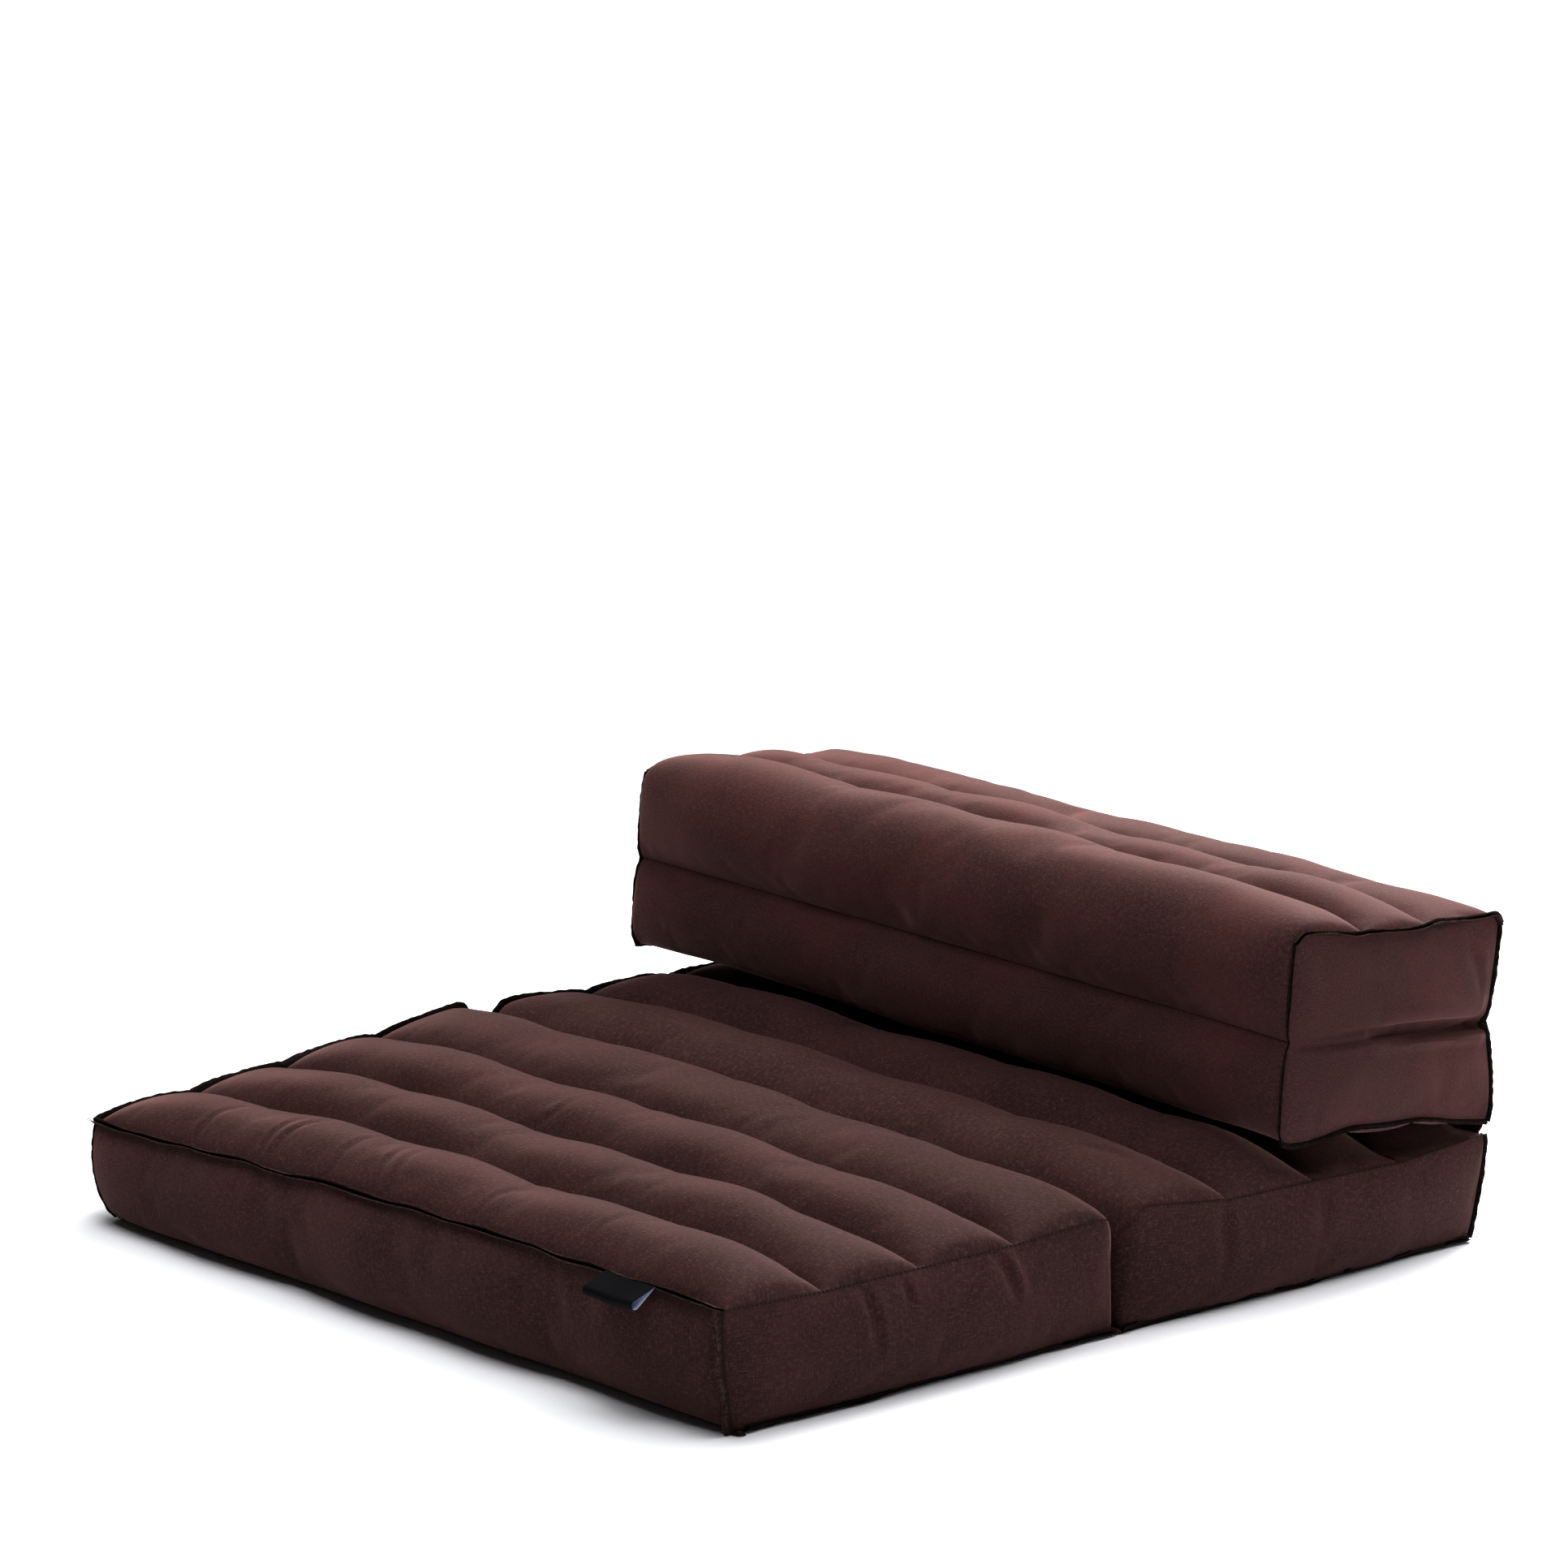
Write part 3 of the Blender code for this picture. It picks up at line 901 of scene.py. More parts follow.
REAR_CUSHION = Bundle(
    name="rear_cushion",
    slot="cushion_cotton",
    left=EndOutline(
        Corner(0.356, 0.0),
        Corner(0.371, 0.093),
        Corner(0.708, 0.086),
        Corner(0.697, 0.0),
        arch=0.16,
        taper=0.150,
        roundness=1.9,
    ),
    right=EndOutline(
        Corner(0.356, 0.0),
        Corner(0.367, 0.088),
        Corner(0.708, 0.078),
        Corner(0.697, 0.0),
        dip=0.008,
        pressed=(1.0, 1.6, 5.0, 7.0),
    ),
    crowns=(0.025, 0.026, 0.026, 0.024),
    front_bulge=0.006,
    rear_bulge=0.011,
    foot_draw_in=0.006,
    bow=0.002,
    rounded=(Line.FRONT_TOP,),
    trims={
        **fins(Trim.UPRIGHT, (End.LEFT, Side.TOP)),
        **fins(Trim.DARK, (End.LEFT, Side.REAR), (End.RIGHT, Side.REAR)),
        **fins(Trim.DARK, (End.LEFT, Side.FOOT), (End.RIGHT, Side.FOOT)),
        **fins(Trim.STITCHED, (End.RIGHT, Side.TOP), (None, Line.REAR_TOP)),
    },
    creases=(
        Crease(RIGHTWARD, (0.098, 0.078), (0.094, 0.034), 0.0020, 0.006, -0.003),
        Crease(RIGHTWARD, (0.190, 0.074), (0.182, 0.040), 0.0014, 0.007, 0.003),
        Crease(UPWARD, (0.255, 0.045), (0.300, 0.058), 0.0012, 0.006, 0.002),
        Crease(UPWARD, (0.020, 0.060), (0.040, 0.090), 0.0010, 0.006, 0.002),
    ),
    phase=1.7,
)

BACK_BLOCK = Bundle(
    name="back_block",
    slot="block_cotton",
    left=EndOutline(
        Corner(0.505, 0.122), Corner(0.519, 0.256), Corner(0.716, 0.243), Corner(0.709, 0.099), dip=0.001
    ),
    right=EndOutline(
        Corner(0.503, 0.106),
        Corner(0.516, 0.251),
        Corner(0.716, 0.235),
        Corner(0.709, 0.088),
        dip=0.001,
        foot_arch=0.008,
    ),
    columns=3,
    rows=2,
    crowns=(0.024, 0.019, 0.011),
    sink=0.003,
    wall_sink=0.004,
    foot_crown=0.012,
    foot_sink=0.004,
    front_bulge=0.017,
    rear_bulge=0.014,
    rear_pinch=0.0105,
    end_bulge=0.010,
    end_valley=0.008,
    foot_draw_in=0.0,
    bow=0.001,
    end_wall_share=0.4,
    radius=0.024,
    under_radius=0.050,
    rounded=(Line.FRONT_FOOT, Line.FRONT_TOP, Line.REAR_TOP),
    trims={
        **fins(Trim.BROWN, (End.RIGHT, Side.TOP)),
        **fins(Trim.NARROW, (End.LEFT, Side.TOP), (End.LEFT, Side.FRONT)),
        **fins(Trim.DARK, (End.LEFT, Side.REAR), (End.LEFT, Side.FOOT)),
        **fins(Trim.NARROW, (End.RIGHT, Side.FRONT)),
        **fins(Trim.DARK, (End.RIGHT, Side.REAR), (End.RIGHT, Side.FOOT)),
    },
    creases=(
        Crease(FORWARD, (0.120, 0.235), (0.080, 0.200), 0.0020, 0.016, 0.004),
        Crease(FORWARD, (-0.150, 0.250), (-0.185, 0.215), 0.0018, 0.015, 0.004),
        Crease(FORWARD, (-0.020, 0.240), (-0.065, 0.205), 0.0018, 0.018, -0.004),
        Crease(FORWARD, (0.290, 0.222), (0.332, 0.214), 0.0014, 0.005, 0.002),
        Crease(FORWARD, (0.300, 0.150), (0.335, 0.146), 0.0012, 0.006, 0.001),
        Crease(RIGHTWARD, (0.368, 0.1580), (0.226, 0.1735), 0.0130, 0.0044, -0.0013),
        Crease(RIGHTWARD, (0.262, 0.1725), (0.148, 0.1770), 0.0030, 0.0022, 0.0036),
        Crease(RIGHTWARD, (0.352, 0.1740), (0.240, 0.1880), -0.0055, 0.0110, -0.0020),
        Crease(RIGHTWARD, (0.300, 0.140), (0.306, 0.110), 0.0008, 0.010, 0.002),
        Crease(RIGHTWARD, (0.335, 0.215), (0.345, 0.180), 0.0014, 0.005, 0.004),
    ),
    phase=2.9,
)


CLOTH_SETTINGS: dict[str, float | bool] = {
    "quality": 4,
    "mass": 0.2,
    "use_pressure": True,
    "tension_stiffness": 12,
    "compression_stiffness": 8,
    "shear_stiffness": 4,
    "bending_stiffness": 0.04,
}


class SeamLine(NamedTuple):
    """Points along a seam or stitch line, with the outward direction of the cloth at each."""

    points: list[Vector]
    normals: list[Vector]

    def even(self, step: float, smoothing: int = 2) -> list[tuple[Vector, Vector]]:
        """Points an even step apart, each with its outward direction.

        Args:
            step: distance between the new points.
            smoothing: how many times each point is averaged with its neighbours.

        Returns:
            The new points.
        """
        joined = [(*point, *normal) for point, normal in zip(self.points, self.normals)]
        rows = even_path(joined, step, smoothing)
        return [(Vector(row[:3]), Vector(row[3:]).normalized()) for row in rows]


@dataclass
class FilledCushion:
    """One cushion: a closed body of channelled cloth, its seams and its rows of stitches.

    Attributes:
        bundle: its sizes.
        cotton: finish of the cloth.
        facets: points in each channel's width, before the last subdivision.
        stations: sections in its length, before the last subdivision.
        end_crowding: how far the sections are drawn towards the ends.
        panel_squareness: fullness of the end panels, 2 for an ellipse.
        panel_steepness: exponent of their rise.
        lump: height of the lumps in the filling.
        lump_width: width of such a lump.
        lumps: (share of that height, how many times finer, shift) of two layers of them.
        edge_share: how near to a seam they fade out, as a share of their width.
        pressure: pressure of the filling in the cloth simulation.
        spare_cloth: share by which the cloth is larger than its shape, which gathers it along the seams.
        most_move: how far a point may move in the simulation.
        frames: length of the simulation.
        seam_crease: how sharply the cloth bends at a seam, from 0 to 1.
        stitch_crease: the same at a row of stitches.
        turned_in_crease: the same at a seam with nothing outside it.
        sharpest_smooth: angle in degrees up to which the cloth is shaded smooth.
        fill: how firmly the cushion is filled; not used.
    """

    bundle: Bundle
    cotton: PlainWovenCotton
    facets: int = 14
    stations: int = 136
    end_crowding: float = 0.5
    panel_squareness: float = 3.0
    panel_steepness: float = 0.9
    lump: float = 0.0008
    lump_width: float = 0.085
    lumps: tuple[tuple[float, float, int], ...] = ((1.4, 1.0, 10), (0.5, 2.7, -10))
    edge_share: float = 0.4
    pressure: float = 2.5
    spare_cloth: float = 0.004
    most_move: float = 0.0035
    frames: int = 20
    seam_crease: float = 1.0
    stitch_crease: float = 0.85
    turned_in_crease: float = 0.75
    sharpest_smooth: float = 62.0
    fill: float = 0.75
    body: bpy.types.Object | None = field(default=None, init=False)
    seams: dict[Seam, list[int]] = field(default_factory=dict, init=False)
    stitch_rows: list[list[int]] = field(default_factory=list, init=False)

    def __post_init__(self) -> None:
        """Prepare the section's outline."""
        self.curve = SectionCurve(self.bundle, self.facets)
        self.rest_curve = SectionCurve(BACK_BLOCK, self.facets)

    def block_rest(self, along: float, y: float) -> float:
        """Height of the sloping plane on which the block rests."""
        front, _, _, rear = self.rest_curve.corners(along)
        return mix(front.y, rear.y, (y - front.x) / (rear.x - front.x))

    def settle(self, along: float, y: float, z: float) -> tuple[float, float]:
        """Where a section point comes to rest, against the floor or the cushion next to it.

        Args:
            along: share of the cushion's length, from its left end.
            y: place from the front edge.
            z: height.

        Returns:
            The new y and z.
        """
        if self.bundle is BACK_BLOCK:
            return y, max(z, self.block_rest(along, y) + CLOTH_GAP / 2)
        if self.bundle is REAR_CUSHION:
            y = max(y, FOLD_Y + CLOTH_GAP / 2)
            z = min(z, self.block_rest(along, y) - CLOTH_GAP / 2)
        if self.bundle is FRONT_CUSHION:
            y = min(y, FOLD_Y - CLOTH_GAP / 2)
        return y, max(z, 0.0)

    def round_foot(self, along: float, y: float, z: float) -> float:
        """Draw a point near the front wall's lower edge in, so that the wall turns under softly.

        Args:
            along: share of the cushion's length, from its left end.
            y: place from the front edge.
            z: height.

        Returns:
            The new y.
        """
        radius = mix(*self.bundle.foot_round, along)
        reach = 4 * radius
        inside = y - self.curve.corners(along)[0].x
        if z >= radius or inside >= reach:
            return y
        if z > CLOTH_GAP / 4:
            return y + radius - (radius**2 - (radius - z) ** 2) ** 0.5
        return y - inside + radius + max(0.0, inside) * (reach - radius) / reach

    def corner_share(self, along: float, y: float, z: float) -> float:
        """How near a point is to the left front corner at the floor: 1 in it, 0 from a hand's width off.

        Args:
            along: share of the cushion's length, from its left end.
            y: place from the front edge.
            z: height.

        Returns:
            The share.
        """
        reach = 8 * self.bundle.foot_corner
        if not reach:
            return 0.0
        off = Vector((2 * HALF_LENGTH * along, y - self.bundle.left.front_foot.y, 2 * z)).length
        return max(0.0, 1 - off / reach) ** 2

    def world_place(self, along: float, y: float, z: float) -> Vector:
        """World place of a section point, with the end panels' feet drawn in.

        Args:
            along: share of the cushion's length, from its left end.
            y: place from the front edge.
            z: height.

        Returns:
            The place.
        """
        y, z = self.settle(along, y, z)
        y = self.round_foot(along, y, z)
        height = self.bundle.right.front_top.z
        draw_in = self.bundle.foot_draw_in * max(0.0, 1 - z / height)
        soft = self.bundle.foot_corner * self.corner_share(along, y, z)
        return Vector((mix(-1, 1, along) * (HALF_LENGTH - draw_in) + soft, y - MIDDLE_Y + soft / 2, z))

    def panel_bulge(self, s: float, t: float) -> float:
        """How far an end panel stands out at a share of its width and of its height.

        Args:
            s: share of the panel's width.
            t: share of its height.

        Returns:
            How far it stands out there, in metres.
        """
        swell = pillow(s, self.panel_squareness, self.panel_steepness)
        swell *= pillow(t, self.panel_squareness, self.panel_steepness)
        valley = self.bundle.end_valley * (1 - abs(2 * t - 1)) ** 4
        return (self.bundle.end_bulge - valley) * swell

    def end_grid(self, bm: bmesh.types.BMesh, ring: list[bmesh.types.BMVert], end: End) -> list[list]:
        """Rows of points of an end panel, from its foot to its top.

        Args:
            bm: the working mesh.
            ring: the last section's points, which the panel's border shares.
            end: which end it closes.

        Returns:
            The rows, each from the front to the rear.
        """
        across = self.bundle.columns * self.facets
        up = self.bundle.rows * self.facets
        foot = [ring[-column % len(ring)] for column in range(across + 1)]
        top = [ring[up + column] for column in range(across + 1)]
        front = [ring[row] for row in range(up + 1)]
        rear = [ring[2 * up + across - row] for row in range(up + 1)]
        grid = [foot]
        for row in range(1, up):
            t = row / up
            line = [front[row]]
            for column in range(1, across):
                s = column / across
                edges = foot[column].co.lerp(top[column].co, t) + front[row].co.lerp(rear[row].co, s)
                corners = foot[0].co.lerp(foot[-1].co, s).lerp(top[0].co.lerp(top[-1].co, s), t)
                out = Vector((end.value * self.panel_bulge(s, t), 0, 0))
                line.append(bm.verts.new(edges - corners + out))
            grid.append(line + [rear[row]])
        grid.append(top)
        return grid

    def build_body(self) -> None:
        """Build the closed body, with its seams and stitch lines noted."""
        bm = bmesh.new()
        cloth_map = bm.loops.layers.uv.new("cloth")
        self.crease = bm.edges.layers.float.new("crease_edge")
        self.held = bm.verts.layers.float.new("sewn")
        self.free = bm.verts.layers.float.new("free")
        rings, places = [], []
        for station in range(self.stations + 1):
            along = crowded(station, self.stations, self.end_crowding)
            places.append(2 * HALF_LENGTH * along)
            outline = self.curve.outline(along)
            rings.append([bm.verts.new(self.world_place(along, y, z)) for y, z in outline])
        step = self.bundle.right.front_top.z / self.bundle.rows / self.facets
        skin(bm, cloth_map, rings, places, step)
        up = self.bundle.rows * self.facets
        across = self.bundle.columns * self.facets
        starts = (0, up, up + across, 2 * up + across)
        rows = {Seam(None, line): [ring[starts[line.value]] for ring in rings] for line in Line}
        for end, ring in ((End.LEFT, rings[0]), (End.RIGHT, rings[-1])):
            grid = self.end_grid(bm, ring, end)
            skin(bm, cloth_map, grid, [row * step for row in range(len(grid))], step, closed=False)
            rows[Seam(end, Side.FOOT)] = grid[0]
            rows[Seam(end, Side.TOP)] = grid[-1]
            rows[Seam(end, Side.FRONT)] = [line[0] for line in grid]
            rows[Seam(end, Side.REAR)] = [line[-1] for line in grid]
        bmesh.ops.recalc_face_normals(bm, faces=bm.faces)
        stitched = [
            [ring[index] for ring in rings]
            for index in range(0, len(rings[0]), self.facets)
            if index not in starts
        ]
        self.note_sewing(bm, rows, stitched)
        mesh = bpy.data.meshes.new(self.bundle.name + "_cloth")
        bm.to_mesh(mesh)
        bm.free()
        self.body = link_object(self.bundle.name + "_cloth", mesh)

    def note_sewing(self, bm: bmesh.types.BMesh, rows: Mapping[Seam, list], stitched: list[list]) -> None:
        """Mark the sewn lines: how sharply each bends, how far each point is from them, and their points.

        Args:
            bm: the working mesh.
            rows: the points along each seam and corner line.
            stitched: the points along each row of stitches.
        """
        bm.verts.index_update()
        rounded = {Seam(None, line) for line in self.bundle.rounded}
        sewn, sharpness = set(), []
        for seam, line in rows.items():
            if seam in rounded:
                continue
            turned_in = self.bundle.trims.get(seam) in (None, Trim.STITCHED)
            sharpness.append((line, self.turned_in_crease if turned_in else self.seam_crease))
        sharpness += [(line, self.stitch_crease) for line in stitched]
        for line, sharp in sharpness:
            sewn.update(line)
            for pair in zip(line, line[1:]):
                bm.edges.get(pair)[self.crease] = sharp
        self.seams = {seam: [point.index for point in line] for seam, line in rows.items()}
        self.stitch_rows = [[point.index for point in line] for line in stitched]
        reach = {point: 0.0 for point in sewn}
        edge_of_cloth = list(sewn)
        while edge_of_cloth:
            following = []
            for point in edge_of_cloth:
                for edge in point.link_edges:
                    other = edge.other_vert(point)
                    distance = reach[point] + edge.calc_length()
                    if distance < min(self.lump_width, reach.get(other, 1.0)) - TINY:
                        reach[other] = distance
                        following.append(other)
            edge_of_cloth = following
        for point in bm.verts:
            resting = self.is_resting(point.co)
            point[self.held] = 1.0 if point in sewn or resting else 0.0
            far = min(1.0, reach.get(point, self.lump_width) / (self.edge_share * self.lump_width))
            point[self.free] = 0.0 if resting else far * far * (3 - 2 * far)

    def is_resting(self, place: Vector) -> bool:
        """Whether a point lies on the floor, or is pressed against the next cushion.

        Args:
            place: its world place.

        Returns:
            True if it rests.
        """
        along = (place.x / HALF_LENGTH + 1) / 2
        y, z = place.y + MIDDLE_Y, place.z
        on_floor = self.bundle is not BACK_BLOCK and z < CLOTH_GAP
        at_fold = self.bundle is not BACK_BLOCK and abs(y - FOLD_Y) < CLOTH_GAP
        off_block = abs(z - self.block_rest(along, y))
        under_block = self.bundle is not FRONT_CUSHION and off_block < CLOTH_GAP
        return on_floor or at_fold or under_block

    def lay_filling(self) -> None:
        """Push the cloth out and in over the lumps of the filling."""
        mesh = self.body.data
        free = self.values("free")
        places, normals = self.arrays(mesh)
        for index, (place, normal, share) in enumerate(zip(places, normals, free)):
            if share:
                rise = 0.0
                for height, finer, shift in self.lumps:
                    start = Vector((self.bundle.phase * shift, 0, 0))
                    rise += height * noise.noise(Vector(place) * finer / self.lump_width + start)
                places[index] = place + normal * share * self.lump * rise
        mesh.vertices.foreach_set("co", places.ravel())
        mesh.update()

    def values(self, name: str) -> np.ndarray:
        """One number for each point of the body, by the attribute's name.

        Args:
            name: the attribute's name.

        Returns:
            The numbers.
        """
        mesh = self.body.data
        found = np.zeros(len(mesh.vertices), np.float32)
        mesh.attributes[name].data.foreach_get("value", found)
        return found

    @staticmethod
    def arrays(mesh: bpy.types.Mesh) -> tuple[np.ndarray, np.ndarray]:
        """Places and normals of a mesh's points, one row each.

        Args:
            mesh: the mesh.

        Returns:
            The places and the normals.
        """
        places = np.zeros(len(mesh.vertices) * 3, np.float32)
        mesh.vertices.foreach_get("co", places)
        normals = np.zeros(len(mesh.vertices) * 3, np.float32)
        mesh.vertex_normals.foreach_get("vector", normals)
        return places.reshape(-1, 3), normals.reshape(-1, 3)

    def add_cloth(self) -> None:
        """Set the body up as cloth that is sewn down along its seams and blown up a little."""
        group = self.body.vertex_groups.new(name="sewn")
        held = np.flatnonzero(self.values("sewn") > 0.5)
        group.add(held.tolist(), 1.0, "REPLACE")
        cloth = self.body.modifiers.new("filling", "CLOTH")
        for name, value in CLOTH_SETTINGS.items():
            setattr(cloth.settings, name, value)
        cloth.settings.vertex_group_mass = group.name
        cloth.settings.uniform_pressure_force = self.pressure
        cloth.settings.shrink_min = -self.spare_cloth
        cloth.settings.effector_weights.gravity = 0.0
        cloth.point_cache.frame_start = 1
        cloth.point_cache.frame_end = self.frames

    def keep_cloth(self) -> None:
        """Take the simulated shape, with each point's move capped and kept off what it rests on."""
        graph = bpy.context.evaluated_depsgraph_get()
        blown = np.array([point.co for point in self.body.evaluated_get(graph).data.vertices], np.float32)
        self.body.modifiers.clear()
        mesh = self.body.data
        places, _ = self.arrays(mesh)
        moves = blown - places
        lengths = np.linalg.norm(moves, axis=1, keepdims=True)
        LOG.info(
            "%s cloth moved %.1f mm on average and %.1f mm at most",
            self.bundle.name,
            lengths.mean() / MILLIMETRE,
            lengths.max() / MILLIMETRE,
        )
        soft_cap = self.most_move * np.tanh(lengths / self.most_move) / np.maximum(lengths, TINY)
        self.set_places(places + moves * soft_cap)

    def set_places(self, places: np.ndarray) -> None:
        """Move the body's points, but not into the floor or the cushions next to it.

        Args:
            places: one row for each point.
        """
        for place in places:
            along = (place[0] / HALF_LENGTH + 1) / 2
            y, z = self.settle(along, place[1] + MIDDLE_Y, place[2])
            place[1], place[2] = y - MIDDLE_Y, z
        self.body.data.vertices.foreach_set("co", places.astype(np.float32).ravel())
        self.body.data.update()

    def sewn_line(self, indices: Iterable[int]) -> SeamLine:
        """Points and outward directions along a row of the body's points.

        Args:
            indices: numbers of the points.

        Returns:
            The line.
        """
        mesh = self.body.data
        points = [mesh.vertices[index].co.copy() for index in indices]
        normals = [mesh.vertices[index].normal.copy() for index in indices]
        return SeamLine(points, normals)

    def refine(self) -> None:
        """Subdivide the body once, with the seams kept sharp."""
        modifier = self.body.modifiers.new("finer", "SUBSURF")
        modifier.levels = modifier.render_levels = 1
        graph = bpy.context.evaluated_depsgraph_get()
        fine = bpy.data.meshes.new_from_object(self.body.evaluated_get(graph))
        self.body.modifiers.clear()
        coarse, self.body.data = self.body.data, fine
        bpy.data.meshes.remove(coarse)

    def press_creases(self) -> None:
        """Press the listed creases into the cloth."""
        places, normals = self.arrays(self.body.data)
        free = self.values("free")
        moved = np.zeros(len(places))
        for crease in self.bundle.creases:
            facing = np.array(crease.facing)
            axes = [axis for axis in range(3) if not facing[axis]]
            flat = places[:, axes]
            start, end = np.array(crease.start), np.array(crease.end)
            run = end - start
            length = np.linalg.norm(run)
            share = ((flat - start) @ run) / length**2
            inside = np.clip(share, 0, 1)
            side = ((flat - start) @ np.array((-run[1], run[0]))) / length
            side = (side - crease.bend * 4 * inside * (1 - inside)) / crease.width
            beyond = np.abs(share - inside) * length / crease.width
            trough = np.exp(-(side**2) - beyond**2)
            ridge = crease.ridge * np.exp(-((side - crease.ridge_off) ** 2) - beyond**2)
            fade = np.sin(pi * np.clip(mix(crease.blunt, 1.0, inside), 0, 1)) ** crease.fade
            turned = np.clip(normals @ facing * 2, 0, 1)
            moved += crease.depth * (ridge - trough) * fade * turned
        self.set_places(places + normals * (moved * np.clip(free * 3 + 0.2, 0, 1))[:, None])

    def dress(self) -> None:
        """Give the body its finish, shade it smooth, hang it on the root and hide its solid."""
        self.body.data.materials.clear()
        self.body.data.materials.append(self.cotton.material())
        self.body.data.shade_smooth()
        self.body.data.set_sharp_from_angle(angle=radians(self.sharpest_smooth))
        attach(self.body, BODY)
        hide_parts(self.bundle.name)


@dataclass
class StripBuilder:
    """Gathers thin closed strips and tubes into one mesh.

    Attributes:
        name: name of the piece.
        slot: material slot of the record; not used.
        facet: width of a facet round an outline, for the place in the cloth.
        sharpest_smooth: angle in degrees up to which the strips are shaded smooth.
    """

    name: str
    slot: str
    facet: float = 0.001
    sharpest_smooth: float = 50.0
    bm: bmesh.types.BMesh = field(default_factory=bmesh.new, init=False)

    def __post_init__(self) -> None:
        """Prepare the layers that the finishes read."""
        self.rim = self.bm.verts.layers.float.new("rim")
        self.cloth_map = self.bm.loops.layers.uv.new("cloth")

    def sweep(
        self,
        rings: Sequence[Sequence[tuple[Vector, float]]],
        step: float = 0.003,
        material_of: Sequence[int] = (0,),
    ) -> None:
        """Add a closed strip through a row of outlines.

        Args:
            rings: outlines that run the same way round, each point with its share of the rim's colour.
            step: distance between outlines, for the place in the cloth.
            material_of: material number of each facet round an outline.
        """
        made = []
        for ring in rings:
            points = []
            for place, rim in ring:
                point = self.bm.verts.new(place)
                point[self.rim] = rim
                points.append(point)
            made.append(points)
        places = [number * step for number in range(len(made))]
        faces = skin(self.bm, self.cloth_map, made, places, self.facet)
        for face, material in zip(faces, cycle(material_of)):
            face.material_index = material
        self.bm.faces.new(made[0][::-1])
        self.bm.faces.new(made[-1])

    def finish(self, materials: Sequence[bpy.types.Material]) -> bpy.types.Object:
        """Turn what was gathered into one dressed piece.

        Args:
            materials: the piece's materials.

        Returns:
            The piece.
        """
        bmesh.ops.recalc_face_normals(self.bm, faces=self.bm.faces)
        mesh = bpy.data.meshes.new(self.name)
        self.bm.to_mesh(mesh)
        self.bm.free()
        for material in materials:
            mesh.materials.append(material)
        mesh.shade_smooth()
        mesh.set_sharp_from_angle(angle=radians(self.sharpest_smooth))
        made = link_object(self.name, mesh)
        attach(made, BODY)
        return made


def round_section(
    centre: Vector, side: Vector, other: Vector, radius: float, rim: float
) -> list[tuple[Vector, float]]:
    """Outline of a thread, kept above the floor.

    Args:
        centre: the middle of the section.
        side: a direction across the thread.
        other: the direction across both.
        radius: the thread's radius there.
        rim: share of the rim's colour.

    Returns:
        The points, each with that share.
    """
    ring = []
    for corner in range(THREAD_SIDES):
        turn = 2 * pi * corner / THREAD_SIDES
        spoke = side * cos(turn) + other * sin(turn)
        ring.append((above_floor(centre + spoke * radius), rim))
    return ring


class Wander(NamedTuple):
    """A size that wanders along a seam.

    Attributes:
        mean: its mean.
        swing: about how far it goes to either side of that.
        wave: length of a wave along the seam.
    """

    mean: float
    swing: float
    wave: float

    def at(self, distance: float, seed: float) -> float:
        """The size at a distance along the seam."""
        return self.mean + 1.6 * self.swing * noise.noise(Vector((distance / self.wave, seed * 7.3, seed)))


